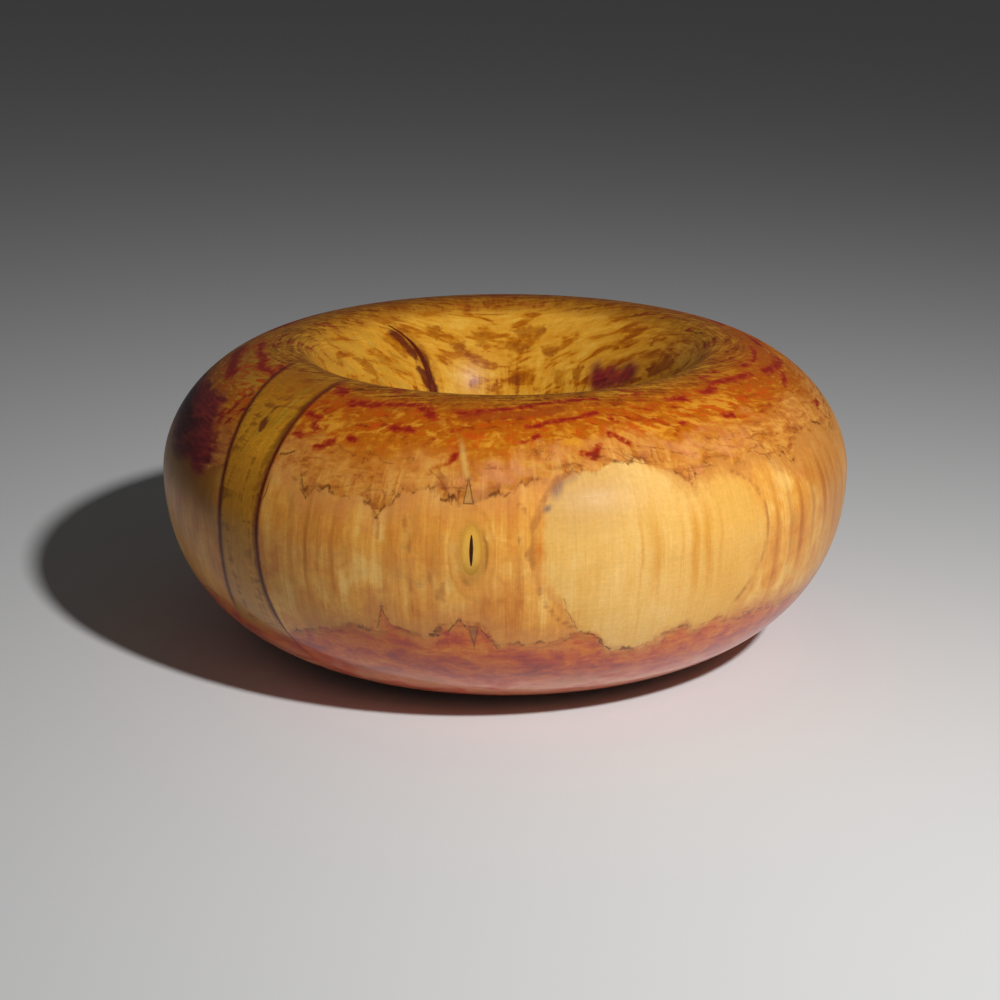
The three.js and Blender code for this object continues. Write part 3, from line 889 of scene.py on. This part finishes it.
# In the colour functions, azimuths are in degrees and runs in millimetres. A factor at the end of a share
# is its strength, and the third number of a grain is its seed. The order in which they make their nodes
# counts: in another order, the wood's material can pass the renderer's limit, and the wood turns black.
def heart_colour(wood, noise):
    """The wood outside the sapwood: flames of gold, orange and red on the shoulder, rose under the belly."""
    run, azimuth, sapwood = noise["run"], noise["azimuth"], noise["sapwood"]
    light, middling, dark = [
        wood.ramp(run, [(row[0], row[i]) for row in HEART], *HEART_RUNS) for i in (1, 2, 3)
    ]
    tone = noise["swirl"] * 0.85 + noise["blot"] * 0.5 + noise["speck"] * 0.16
    heart = wood.paint(middling, light, wood.rise(tone, -0.1, -0.7))
    heart = wood.paint(heart, dark, wood.rise(tone, 0.15, 0.75))
    glow = wood.grain(15.0, 4.5, 7, 4.0, 0.52, 0.8) + noise["blot"] * 0.35
    heart = wood.paint(heart, "c0480a", wood.rise(glow, 0.1, 0.6) * wood.bump(run, 246.0, 32.0) * 0.8)
    zones = [wood.patch(azimuth, at, wide, run, up, tall) for at, wide, up, tall in GOLD_ZONES]
    gold = wood.rise(glow - wood.most(*zones) * 0.75, -0.15, -0.95)
    heart = wood.paint(heart, "d9922a", gold * wood.bump(run, 240.0, 32.0) * 0.8)

    olive = wood.window(azimuth, -50.0, -60.0, -175.0, -120.0) * wood.bump(run, 256.0, 34.0)
    heart = wood.paint(heart, "b27e1e", olive * wood.rise(glow, 0.4, -0.4) * 0.75)

    ruddy = wood.bump(azimuth, 80.0, 30.0) * wood.rise(run, 206.0, 228.0)
    heart = wood.paint(heart, "a85206", ruddy * (wood.rise(glow, -0.6, 0.4) * 0.4 + 0.3))

    # Under the belly: soft rose and purple patches, more orange near the sapwood
    depth = wood.rise(run, 126.0, 92.0)
    patches = wood.grain(11.0, 9.0, 8, 3.0, 0.55, 0.6)
    tone = patches * 0.7 + noise["blot"] * 0.28 + noise["swirl"] * 0.25 - depth * 0.35 + 0.12
    shades = [(-0.9, "8f3434"), (-0.35, "b44832"), (0.05, "c95e2a"), (0.4, "d47228"), (0.85, "dc9036")]
    low = wood.ramp(tone, shades, -1.0, 1.0)
    heart = wood.paint(heart, low, wood.rise(run, 40.0, 66.0) * noise["below"])
    fringe = wood.rise(sapwood + noise["blot"] * 2.0 + patches * 4.0, -7.0, -1.0) * noise["below"]
    heart = wood.paint(heart, "d07f3a", fringe * 0.7)
    lit = wood.patch(azimuth, 8.0, 10.0, run, 119.0, 9.0)
    heart = wood.paint(heart, "d88c44", lit * wood.rise(noise["blot"], 0.5, -0.3) * 0.8)
    # Red and amber stripes low on the belly, made paler as painted reflection of the lit floor.
    stripes_and_sheen = wood.ramp(wood.grain(7.0, 12.0, 43, 3.0, 0.5, 0.5),
                        [(-0.6, "c8483a"), (-0.15, "de7e5c"), (0.2, "eaa080"), (0.6, "dc9266")], -1.0, 1.0)
    heart = wood.paint(heart, stripes_and_sheen, wood.bump(run, 76.0, 26.0) * 0.85)

    # Above the sapwood: tan and salmon, with thin brown worm lines
    near = wood.rise(sapwood + wood.grain(13.0, 8.0, 9, 4.0) * 7.0, -26.0, -12.0) * noise["above"]
    near = near * (1.0 - wood.bump(azimuth, -66.0, 17.0) * 0.85)
    tone = noise["swirl"] * 0.45 + noise["blot"] * 0.55 + noise["speck"] * 0.2
    shades = [(-0.8, "dea24c"), (-0.25, "d18c3a"), (0.1, "c4782a"), (0.45, "b4641c"), (0.9, "9c4c14")]
    tan = wood.ramp(tone, shades, -1.0, 1.0)
    rosy = wood.bump(azimuth, 2.0, 16.0) * 0.5 + wood.bump(azimuth, 36.0, 18.0) * 0.3 + 0.12
    tan = wood.paint(tan, "d58a5e", wood.rise(patches + noise["blot"] * 0.3, -0.3, 0.5) * rosy)
    heart = wood.paint(heart, tan, near * 0.9)
    peaks = wood.rise(wood.grain(42.0, 20.0, 39, 4.0, 0.6, 0.4) + noise["blot"] * 0.3, 0.1, 0.7)
    heart = wood.paint(heart, "dfa24c", peaks * wood.rise(sapwood, -20.0, -3.0) * noise["above"] * 0.75)
    worm = wood.bump(wood.grain(13.0, 6.0, 10, 3.0, 0.5, 0.6), 0.0, 0.13)
    worm = worm * wood.rise(noise["swirl"], -0.1, 0.5)
    heart = wood.paint(heart, "7c3e14", worm * near * 0.55)

    # Red strokes, and the hatched patch under the longest one
    red = wood.stored("red") + noise["blot"] * 0.6 + noise["swirl"] * 0.3 + noise["speck"] * 0.25
    heart = wood.paint(heart, "a63810", wood.rise(red, -0.5, 0.35) * 0.8)
    heart = wood.paint(heart, "881810", wood.rise(red, 0.1, 0.8) * 0.88)
    hatch = wood.math("SINE", azimuth * (2.0 * math.pi / HATCH_DEGREES)) * 0.5 + 0.5
    ladder = wood.rise(wood.stored("ladder") + noise["blot"] * 0.3, 0.0, 0.5)
    return wood.paint(heart, "93380f", ladder * (hatch * 0.45 + 0.3))


def funnel_colour(wood, noise):
    """Pale gold with amber and brown blotches that follow the arches, streaks near the throat, and painted
    shade on its right side.
    """
    run, azimuth = noise["run"], noise["azimuth"]
    flow = wood.grain(4.6, 9.0, 26, 3.0, 0.5, 0.7)
    mottle = wood.grain(13.0, 3.4, 36, 4.0, 0.55, 0.6)
    streaks = wood.grain(16.0, 40.0, 28, 3.0, 0.6, 0.4)
    low_down = wood.rise(run, 318.0, 348.0)
    # Darker on the right of the funnel, most from azimuth 60 to 112: painted shade.
    shade = wood.window(azimuth, 155.0, 112.0, 0.0, 60.0)
    steps = wood.rise(flow + mottle * 0.15, 0.05, 0.4) * 0.3 + flow * 0.42 - 0.14
    tone = steps + mottle * 0.26 + noise["speck"] * 0.05 + streaks * low_down * 0.5 + shade * 0.2
    shades = [
        (-0.8, "e8b854"), (-0.4, "dea234"), (0.0, "cf8c22"), (0.3, "ba7010"), (0.55, "a05408"),
        (0.95, "74340a"),
    ]
    wall = wood.ramp(tone, shades, -1.0, 1.0)
    bands = wood.grain(3.0, 2.6, 37, 4.0, 0.6, 0.6) + mottle * 0.3
    upper = wood.rise(run, 316.0, 296.0)
    wall = wood.paint(wall, "95460e", wood.rise(bands, 0.25, 0.85) * upper * 0.75)
    wall = wood.paint(wall, "e0b04c", wood.rise(bands, -0.25, -0.85) * upper * 0.6)
    left = wood.rise(abs(azimuth), 150.0, 128.0) * wood.rise(azimuth, -60.0, -90.0)
    wall = wood.paint(wall, "b88428", left * wood.rise(mottle + streaks * 0.5, 0.3, -0.5) * 0.6)
    wall = wood.paint(wall, "8a3f12", wood.rise(streaks + mottle * 0.5, 0.3, 0.9) * low_down * 0.55)
    return wood.paint(wall, "6d3a14", wood.rise(run, 362.0, 388.0) * 0.6)


def streaked(wood, noise, base, colour, streaks, bend, zone):
    """Upright streaks over a base inside a zone, each a little bent."""
    for at, reach, strength in streaks:
        wander = noise["azimuth"] + wood.grain(3.0, 26.0, at, 2.0) * bend + noise["fine"] * 0.25
        base = wood.paint(base, colour, wood.bump(wander, at, reach) * zone * strength)
    return base


def sapwood_colour(wood, noise):
    """Pale gold, with upright streaks, smoky hazes and paler ovals."""
    run, azimuth, sapwood = noise["run"], noise["azimuth"], noise["sapwood"]
    streaks, fine, broad = noise["streaks"], noise["fine"], noise["broad"]
    clouds = wood.grain(15.0, 13.0, 27, 4.0, 0.6, 0.6)
    tone = streaks * 0.46 + broad * 0.6 + clouds * 0.42 + fine * 0.12
    tone = tone + wood.rise(azimuth, -30.0, 0.0) * 0.1 - 0.06
    sap = wood.ramp(tone, [(-0.7, "c67628"), (-0.3, "d88e38"), (0.1, "e3a044"), (0.6, "f0bd66")], -1.0, 1.0)
    smoky = wood.rise(clouds * 0.7 - broad * 0.6, 0.0, 0.7) * (fine * 0.2 + 0.5)
    sides = wood.rise(azimuth, 2.0, -8.0) + wood.rise(azimuth, 40.0, 50.0) * 0.6
    sap = wood.paint(sap, "b0763a", smoky * sides)
    rosy = wood.rise(wood.grain(16.0, 18.0, 29, 4.0, 0.6, 0.8) - clouds * 0.3, 0.25, 0.8)
    sap = wood.paint(sap, "d2813c", rosy * 0.6)
    edge = wood.rise(sapwood + clouds * 4.0, 14.0, 1.0)
    sap = wood.paint(sap, "cd8748", edge * 0.55)
    shady = wood.window(azimuth, -49.0, -54.0, -120.0, -95.0)
    sap = wood.paint(sap, "99610f", shady * wood.rise(run, 156.0, 186.0) * 0.85)
    reddish = wood.patch(azimuth, 64.0, 13.0, run, 182.0, 40.0)
    sap = wood.paint(sap, "a5540a", reddish * wood.rise(streaks + fine * 0.3, -0.8, 0.4))
    sap = wood.paint(sap, "cb8a44", wood.rise(azimuth, 54.0, 66.0) * 0.5)
    middle = wood.bump(run, 168.0, 40.0)
    sap = streaked(wood, noise, sap, "b3681e", SAP_STREAKS, 0.45, middle)

    oval = wood.stored("oval") + wood.grain(40.0, 20.0, 16, 4.0) * 2.2 + clouds * 1.6
    tone = streaks * 0.3 + broad * 0.45 + clouds * 0.25 + fine * 0.08
    pale = wood.ramp(tone, [(-0.8, "d79e44"), (-0.1, "e2b05c"), (0.7, "ecc176")], -1.0, 1.0)
    pale = wood.paint(pale, "c99852", wood.patch(azimuth, 12.0, 15.0, run, 203.0, 36.0) * 0.85)
    right = wood.window(azimuth, 20.0, 36.0, 60.0, 46.0)
    pale = wood.paint(pale, "dfa346", right * 0.55)
    pale = streaked(wood, noise, pale, "cf8b2c", OVAL_STREAKS, 0.4, middle)
    rim = wood.bump(oval, -2.0, 3.6) * wood.rise(broad + clouds * 0.6, -0.8, 0.4)
    sap = wood.paint(sap, "bb763a", rim * (0.5 - right * 0.35))
    sap = wood.paint(sap, pale, wood.rise(oval / (right * 1.8 + 1.0), -2.8, 3.2))
    for at, up, across, tall, strength in SMUDGES:
        smudge = wood.bump(azimuth + (run - up) * -0.12 + fine * 0.1, at, across) * wood.bump(run, up, tall)
        sap = wood.paint(sap, "7a5a50", smudge * wood.rise(fine * 0.5 + clouds, -0.9, 0.3) * strength)
    tanned = wood.rise(sapwood + clouds * 5.0 + noise["blot"] * 2.0, 12.0, -1.0)
    tanned = tanned * wood.rise(azimuth, 22.0, 34.0)
    return wood.paint(sap, "bf7a30", tanned * noise["above"] * 0.75)


def dark_lines(wood, noise):
    """How strongly the dark zone lines mark each place: along the edge of the sapwood and beside it."""
    sapwood, run = noise["sapwood"], noise["run"]
    patchy = wood.rise(wood.grain(14.0, 14.0, 17, 4.0, 0.6), -0.3, 0.45)
    edge = wood.rise(abs(sapwood + 0.2 + noise["speck"] * 0.3), 0.7 + patchy * 1.6, 0.0)
    edge = edge * wood.rise(patchy, 0.1, 0.9)
    band = wood.window(sapwood, -13.0, -6.0, 1.0, -0.5)
    worms = wood.bump(wood.grain(13.0, 9.0, 18, 2.0, 0.5, 0.6), 0.06, 0.12)
    worms = worms * wood.rise(noise["broad"], -0.1, 0.5)
    blot, node = noise["blot"], wood.new("ShaderNodeCombineXYZ")
    place = wood.feed_all(node, noise["azimuth"] * MM_PER_DEGREE + blot * 0.9, run + blot * 1.1, 0.0)
    drawn = line_mask(wood, place, FINE_LINES)
    drawn = drawn * wood.rise(noise["fine"] + noise["speck"], -1.1, 0.2)
    broken = wood.rise(noise["swirl"] + blot * 0.5, -0.5, 0.35)
    edge = edge * (1.0 - noise["below"] * wood.rise(noise["azimuth"], 24.0, 38.0) * 0.75)
    return wood.most(edge * (broken * 0.7 + 0.15), worms * band * 0.5, drawn)


def turned_wood():
    """Figured maple: red and amber heart, pale sapwood with ovals, dark zone lines between."""
    wood = Wood("turned_wood")
    azimuth, run = wood.azimuth, wood.stored("run")
    arch = wood.math("COSINE", (azimuth - ARCH_AZIMUTH) * math.radians(ARCHES)) * ARCH_RISE_MM
    wood.wrap(run - arch * wood.rise(run, 176.0, 262.0))
    blot = wood.grain(34.0, 4.0, 5, 4.0, 0.55, 0.6)
    speck = wood.grain(100.0, 1.7, 25, 3.0)
    noise = {
        "azimuth": azimuth,
        "run": run,
        "swirl": wood.grain(11.0, 5.0, 4, 5.0, 0.52, 0.8),
        "blot": blot,
        "speck": speck,
        "streaks": wood.grain(36.0, 70.0, 13, 4.0, 0.65, 0.2),
        "fine": wood.grain(210.0, 30.0, 14, 3.0, 0.6),
        "broad": wood.grain(9.0, 46.0, 15, 3.0, 0.6),
        "sapwood": (
            wood.stored("sapwood") + blot * 0.9 + wood.grain(38.0, 12.0, 1, 3.0, 0.5, 0.4) * 2.6
            + speck * 0.2
        ),
        "above": wood.rise(run, 160.0, 176.0),
        "below": wood.rise(run, 172.0, 150.0),
    }
    sapwood, fine, broad = noise["sapwood"], noise["fine"], noise["broad"]
    heart = wood.paint(heart_colour(wood, noise), funnel_colour(wood, noise), wood.rise(run, 284.0, 300.0))
    crest_lines = wood.grain(6.0, 2.0, 38, 4.0, 0.58, 0.4)
    crest = wood.window(run, 258.0, 274.0, 300.0, 288.0)
    lines = crest_lines * 0.9 + blot * 0.45 + speck * 0.15
    heart = wood.paint(heart, "5c2a08", wood.rise(lines, 0.1, 0.7) * crest * 0.85)
    heart = wood.paint(heart, "c48c26", wood.rise(lines, -0.05, -0.6) * crest * 0.85)
    heart = wood.paint(heart, "8c2410", wood.rise(broad + lines * 0.6, 0.35, 0.75) * crest * 0.7)
    # The crest darker on the far side of the rim: painted shade.
    far_rim_shade = wood.rise(abs(azimuth), 100.0, 150.0) * wood.rise(run, 262.0, 276.0)
    far_rim_shade = far_rim_shade * wood.rise(run, 302.0, 288.0)
    heart = wood.paint(heart, "7c3a0a", far_rim_shade * (broad * 0.3 + 0.45))
    blend = wood.rise(broad + azimuth * 0.03, -0.2, 1.6) * noise["below"] * 6.0 + 0.9
    colour = wood.paint(heart, sapwood_colour(wood, noise), wood.rise(sapwood / blend, -1.0, 1.0))
    smoke = wood.window(sapwood, -9.0, -0.5, 3.0, -0.6)
    smoke = smoke * wood.rise(noise["swirl"], -0.2, 0.6)
    colour = wood.paint(colour, "84491f", smoke * 0.45)
    soft = wood.rise(wood.stored("soft_lines") + blot * 0.25, -0.1, 0.8)
    soft = soft * wood.rise(noise["streaks"], -1.0, 0.2)
    colour = wood.paint(colour, "a05c28", soft * 0.6)
    colour = wood.paint(colour, "54270c", dark_lines(wood, noise) * 0.9)

    # Olive strip between the checks, stained next to them
    front, side = wood.stored("front_check"), wood.stored("side_check")
    strip = wood.rise(wood.least(side, front * -1.0), -0.4, 0.6)
    strip = strip * wood.rise(run + noise["swirl"] * 12.0, 288.0, 246.0)
    strip = strip * wood.rise(run, 96.0, 112.0)
    upper = wood.rise(run, 195.0, 225.0)
    drift = noise["streaks"] * 0.24 + broad * 0.14 + (noise["swirl"] * 0.3 + blot * 0.2) * upper
    tone = wood.shade(wood.ramp(run, STRIP, *STRIP_RUNS), drift + fine * 0.08)
    colour = wood.paint(colour, tone, strip * 0.94)
    streaky = wood.rise(noise["streaks"] + noise["swirl"] * 0.6, 0.0, 0.7)
    colour = wood.paint(colour, "7a4c0c", strip * streaky * 0.7)
    colour = wood.paint(colour, "c9992a", strip * wood.rise(noise["streaks"] + blot * 0.4, -0.2, -0.8) * 0.5)
    clouded = strip * upper * wood.rise(noise["swirl"] + blot * 0.6, 0.1, 0.8)
    colour = wood.paint(colour, "8c4a10", clouded * 0.6)
    stained = wood.most(wood.rise(front + blot * 0.8, -4.6, -0.6) * wood.rise(front + blot * 0.4, 2.6, 0.8),
                        wood.rise(abs(side + blot * 0.6), 3.6, 0.6)) * wood.rise(run, 290.0, 266.0) * 0.8
    colour = wood.paint(colour, "5e1e12", stained * wood.rise(run, 105.0, 125.0))
    fork = wood.bump(front - wood.rise(run, 182.0, 193.0) * 3.2, 0.0, 0.8) * wood.bump(run, 193.0, 13.0)
    colour = wood.paint(colour, "4f2412", fork * 0.8)

    # A darker red-brown patch beside the large stain: partly the wood's own colour, partly painted shade.
    redness_and_shade = wood.bump(azimuth + broad * 1.5, -58.5, 8.5) * wood.bump(run, 203.0, 22.0)
    colour = wood.paint(colour, "94422a", redness_and_shade * (wood.rise(noise["swirl"], -0.6, 0.5) * 0.5 + 0.45))

    # Stains, amber patches, the stained wood along the check in the funnel, and plum marks
    ragged = noise["swirl"] * 2.4 + blot * 0.6 + broad * 1.5
    in_funnel = wood.rise(run, 280.0, 300.0)
    stain = wood.rise(wood.stored("stain") + ragged * (1.0 - in_funnel * 0.7), -4.5, 4.5)
    shades = [(-0.8, "9c3026"), (-0.2, "85232a"), (0.6, "601622")]
    colour = wood.paint(colour, wood.ramp(noise["swirl"] + blot * 0.3, shades, -1.0, 1.0), stain * 0.94)
    core = wood.rise(wood.stored("stain_core") + ragged, -7.0, 9.0)
    colour = wood.paint(colour, "300c10", core * 0.8)
    amber = wood.rise(wood.stored("amber") + blot * 1.4 + noise["swirl"], -1.6, 1.4)
    shades = [(-0.6, "bd7a14"), (0.0, "aa620a"), (0.7, "8c4408")]
    tone = wood.ramp(noise["swirl"] + blot * 0.4, shades, -1.0, 1.0)
    colour = wood.paint(colour, tone, amber * 0.8)
    gap = wood.stored("funnel_check") + wood.grain(14.0, 12.0, 34, 3.0) * 1.5
    gap_zone = wood.rise(run, 296.0, 306.0)
    beside = wood.rise(abs(gap), 9.0, 2.0) * gap_zone * wood.rise(blot, -0.9, 0.4)
    colour = wood.paint(colour, "8d4c12", beside * 0.6)
    along = wood.rise(abs(gap), 4.2, 1.4) * wood.rise(run, 306.0, 332.0)
    colour = wood.paint(colour, "54200f", along * 0.85)
    plum = wood.rise(wood.stored("plum") + blot * 0.8 + noise["swirl"] * 0.5, -1.4, 0.9)
    colour = wood.paint(colour, "5c1a10", plum * 0.85)

    colour = round_the_knot(wood, noise, colour)

    # Fibre and the faint rings left by the turning tool
    turning = wood.math("SINE", run * (2.0 * math.pi / TOOL_PITCH_MM) + noise["swirl"] * 1.2)
    skim = wood.grain(14.0, 0.7, 24, 2.0)
    figured = wood.rise(run, 195.0, 222.0) * speck * 0.05
    colour = wood.shade(colour, fine * 0.05 + speck * 0.06 + figured + skim * 0.035 + turning * 0.008)
    roughness = 0.36 + noise["swirl"] * 0.03 + skim * 0.04 - wood.rise(run, 290.0, 320.0) * 0.07
    height = turning * 0.25 + skim * 0.6 + fine * 0.3
    return wood.finish(colour, roughness, height, 0.01, wood.rise(run, 146.0, 90.0) * COAT)


def round_the_knot(wood, noise, colour):
    """A brown ring with a halo round the knot, a sliver and a pale flare above it, and a wedge below."""
    azimuth, run, blot = noise["azimuth"], noise["run"], noise["blot"]
    across = (azimuth - KNOT_RING["azimuth"]) * MM_PER_DEGREE + blot * 0.8
    up = run - KNOT_RING["run"] + blot * 1.0
    ring = wood.math("SQRT", wood.math("POWER", across / KNOT_RING["across"], 2.0)
                     + wood.math("POWER", up / KNOT_RING["tall"], 2.0))
    colour = wood.paint(colour, "cf8a34", wood.rise(ring, 1.6, 1.0) * 0.45)
    colour = wood.paint(colour, "c08834", wood.rise(ring + blot * 0.06, 1.08, 0.74) * 0.6)
    sides = wood.rise(abs(across + up * 0.22), 2.0, 7.0)
    sides = sides * wood.rise(noise["streaks"] + blot * 0.5, -0.9, 0.3)
    low_right = wood.rise(across - up * 0.4, -1.0, 5.0)
    colour = wood.paint(colour, "96601c", wood.bump(ring, 0.9, 0.18) * sides * (low_right * 0.7 + 0.1))
    colour = wood.paint(colour, "c07a2c", wood.bump(ring, 1.34, 0.16) * sides * 0.4)
    above = run - KNOT_SLIVER["start"]
    beside = abs((azimuth + KNOT_SLIVER["left"]) * MM_PER_DEGREE + above * KNOT_SLIVER["lean"])
    sliver = wood.least(above, KNOT_SLIVER["half_width"] - beside - above * KNOT_SLIVER["narrowing"])
    colour = wood.paint(colour, "b98b4c", wood.rise(sliver, 0.0, 0.7) * 0.6)
    colour = wood.paint(colour, "543a1c", wood.bump(sliver + noise["speck"] * 0.2, 0.1, 0.6) * 0.75)
    sooty = wood.patch(azimuth, -8.6, 2.6, run, 203.0, 9.0)
    sooty = sooty * wood.rise(noise["fine"] + blot, -0.1, 0.6)
    colour = wood.paint(colour, "6b2c14", sooty * 0.85)
    flare = wood.bump(azimuth + 6.1 + (run - 214.0) * 0.075 + noise["fine"] * 0.15, 0.0, 0.9)
    flare = flare * wood.rise(run, 211.0, 216.0) * wood.rise(run, 241.0, 226.0)
    colour = wood.paint(colour, "d6a454", flare * 0.8)
    below = KNOT_WEDGE["start"] - run
    beside = abs((azimuth + KNOT_WEDGE["left"]) * MM_PER_DEGREE)
    wedge = wood.least(below, KNOT_WEDGE["half_width"] - beside - below * KNOT_WEDGE["narrowing"])
    wedge = wedge + blot * 0.4
    colour = wood.paint(colour, "8a643c", wood.rise(wedge, -0.2, 0.6) * 0.6)
    return wood.paint(colour, "5a2c18", wood.bump(wedge, 0.0, 0.7) * 0.6)


def knot_wood():
    """End grain of the branch: pale, with oval rings, greener at its lower tip and brown at its edge."""
    wood = Wood("knot_wood")
    across = (wood.azimuth - KNOT_AZIMUTH) * MM_PER_DEGREE
    up = wood.z - KNOT_HEIGHT_MM
    wood.wrap(wood.z)
    flecks = wood.grain(60.0, 4.0, 31, 3.0)
    oval = wood.math("SQRT", wood.math("POWER", across / (0.5 * KNOT["width"]), 2.0)
                     + wood.math("POWER", up / (0.5 * KNOT["tall"]), 2.0)) + flecks * 0.05
    colour = wood.ramp(oval, [
        (0.0, "7a4414"), (0.14, "bd8030"), (0.26, "dda847"), (0.66, "dca542"), (0.86, "cf9636"),
        (1.0, "bd8430"),
    ])
    rings = wood.math("SINE", oval * 34.0 + flecks) * 0.5 + 0.5
    colour = wood.paint(colour, "b87c2a", rings * 0.16)
    colour = wood.paint(colour, "a57a20", wood.rise(up + flecks * 2.0, -5.0, -13.0) * 0.6)
    colour = wood.shade(colour, flecks * 0.06 + wood.grain(200.0, 6.0, 32, 2.0) * 0.04)
    return wood.finish(colour, 0.44 + flecks * 0.04, rings * 0.4 + flecks * 0.4, 0.015)


def check_filler(name, tone, spot_tone):
    """Dark filler, a little uneven."""
    wood = Wood(name)
    wood.wrap(wood.z)
    grains = wood.grain(150.0, 3.0, 41, 4.0, 0.6)
    patches = wood.grain(20.0, 14.0, 42, 3.0)
    colour = wood.paint(tone, spot_tone, wood.rise(grains * 0.6 + patches * 0.7, -0.4, 0.8))
    return wood.finish(colour, 0.4 + grains * 0.06, grains, 0.03)


# The polish: glossy under the belly, rubbed to a satin sheen elsewhere
COAT = 0.52
COAT_ROUGHNESS = 0.045
COAT_IOR = 1.6
SPECULAR_LEVEL = 0.4


def plain(name, colour, roughness):
    """A material with one colour, for the stage."""
    material = bpy.data.materials.new(name)
    material.use_nodes = True
    shader = material.node_tree.nodes["Principled BSDF"]
    shader.inputs["Base Color"].default_value = (*colour, 1.0)
    shader.inputs["Roughness"].default_value = roughness
    shader.inputs["Specular IOR Level"].default_value = 0.0
    return material


# Camera: the photograph's viewing angle, low over the vessel's shoulder
CAMERA_PLACE = (0.0, -1.227, 0.462)
CAMERA_PITCH = 17.5
CAMERA_TURN = 0.14
FOCAL_PIXELS = 2160.0
IMAGE_PIXELS = 1000.0
SENSOR_MM = 36.0


def make_camera():
    camera = bpy.data.cameras.new("camera")
    camera.sensor_width = SENSOR_MM
    camera.lens = SENSOR_MM * FOCAL_PIXELS / IMAGE_PIXELS
    ob = bpy.data.objects.new("camera", camera)
    ob.location = CAMERA_PLACE
    ob.rotation_euler = (math.radians(90.0 - CAMERA_PITCH), 0.0, math.radians(CAMERA_TURN))
    bpy.context.scene.collection.objects.link(ob)
    bpy.context.scene.camera = ob


# Light: one near studio lamp high on the right in front, and a little light from all round. Most of the
# lamp's light doesn't reach the gloss, so its highlight stays faint.
LAMP_PLACE = (0.645, -0.992, 1.05)
LAMP_AIM = (0.0, 0.0, 0.08)
LAMP_SIZE = 0.1
LAMP_POWER = 7.5
LAMP_SPREAD = 109.0
GLINT_SHARE = 0.19
ROUND_LIGHT = 0.05
FLOOR_SIZE = 30.0
FLOOR_BACK_SHARE = 0.3
FLOOR_COLOUR = (0.74, 0.74, 0.74)


def make_lamp(name, power, glossy):
    light = bpy.data.lights.new(name, "AREA")
    light.shape = "DISK"
    light.size = LAMP_SIZE
    light.energy = power
    light.spread = math.radians(LAMP_SPREAD)
    lamp = bpy.data.objects.new(name, light)
    lamp.location = LAMP_PLACE
    lamp.rotation_euler = (Vector(LAMP_AIM) - lamp.location).to_track_quat("-Z", "Y").to_euler()
    lamp.visible_glossy = glossy
    bpy.context.scene.collection.objects.link(lamp)


def make_stage():
    bpy.ops.mesh.primitive_plane_add(size=FLOOR_SIZE, location=(0.0, FLOOR_SIZE * FLOOR_BACK_SHARE, 0.0))
    floor = bpy.context.object
    floor.name = "floor"
    floor.data.materials.append(plain("floor_paper", FLOOR_COLOUR, 1.0))
    make_lamp("lamp", LAMP_POWER * (1.0 - GLINT_SHARE), False)
    make_lamp("lamp_glint", LAMP_POWER * GLINT_SHARE, True)
    world = bpy.data.worlds.new("world")
    world.use_nodes = True
    background = world.node_tree.nodes["Background"]
    background.inputs["Color"].default_value = (1.0, 1.0, 1.0, 1.0)
    background.inputs["Strength"].default_value = ROUND_LIGHT
    bpy.context.scene.world = world


def dress(pieces):
    """Gives each piece its material."""
    chart_the_wood(pieces["vessel_body"].data)
    body, knot = turned_wood(), knot_wood()
    filler = check_filler("check_filler", "551806", "78300c")
    slit = check_filler("slit_filler", "260f05", "3e1c0a")
    finishes = {
        "vessel_body": (body, "turned_wood"),
        "branch_knot": (knot, "knot_wood"),
        "knot_slit_fill": (slit, "check_filler"),
        "front_check_fill": (filler, "check_filler"),
        "side_check_fill": (filler, "check_filler"),
        "funnel_check_fill": (filler, "check_filler"),
    }
    for node, ob in pieces.items():
        material, slot = finishes[node]
        ob.data.materials.clear()
        ob.data.materials.append(material)


pieces = build_pieces()
dress(pieces)
for node, ob in pieces.items():
    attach(ob, "root")
    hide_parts(node)
make_camera()
make_stage()
bpy.context.scene.view_settings.view_transform = "Standard"
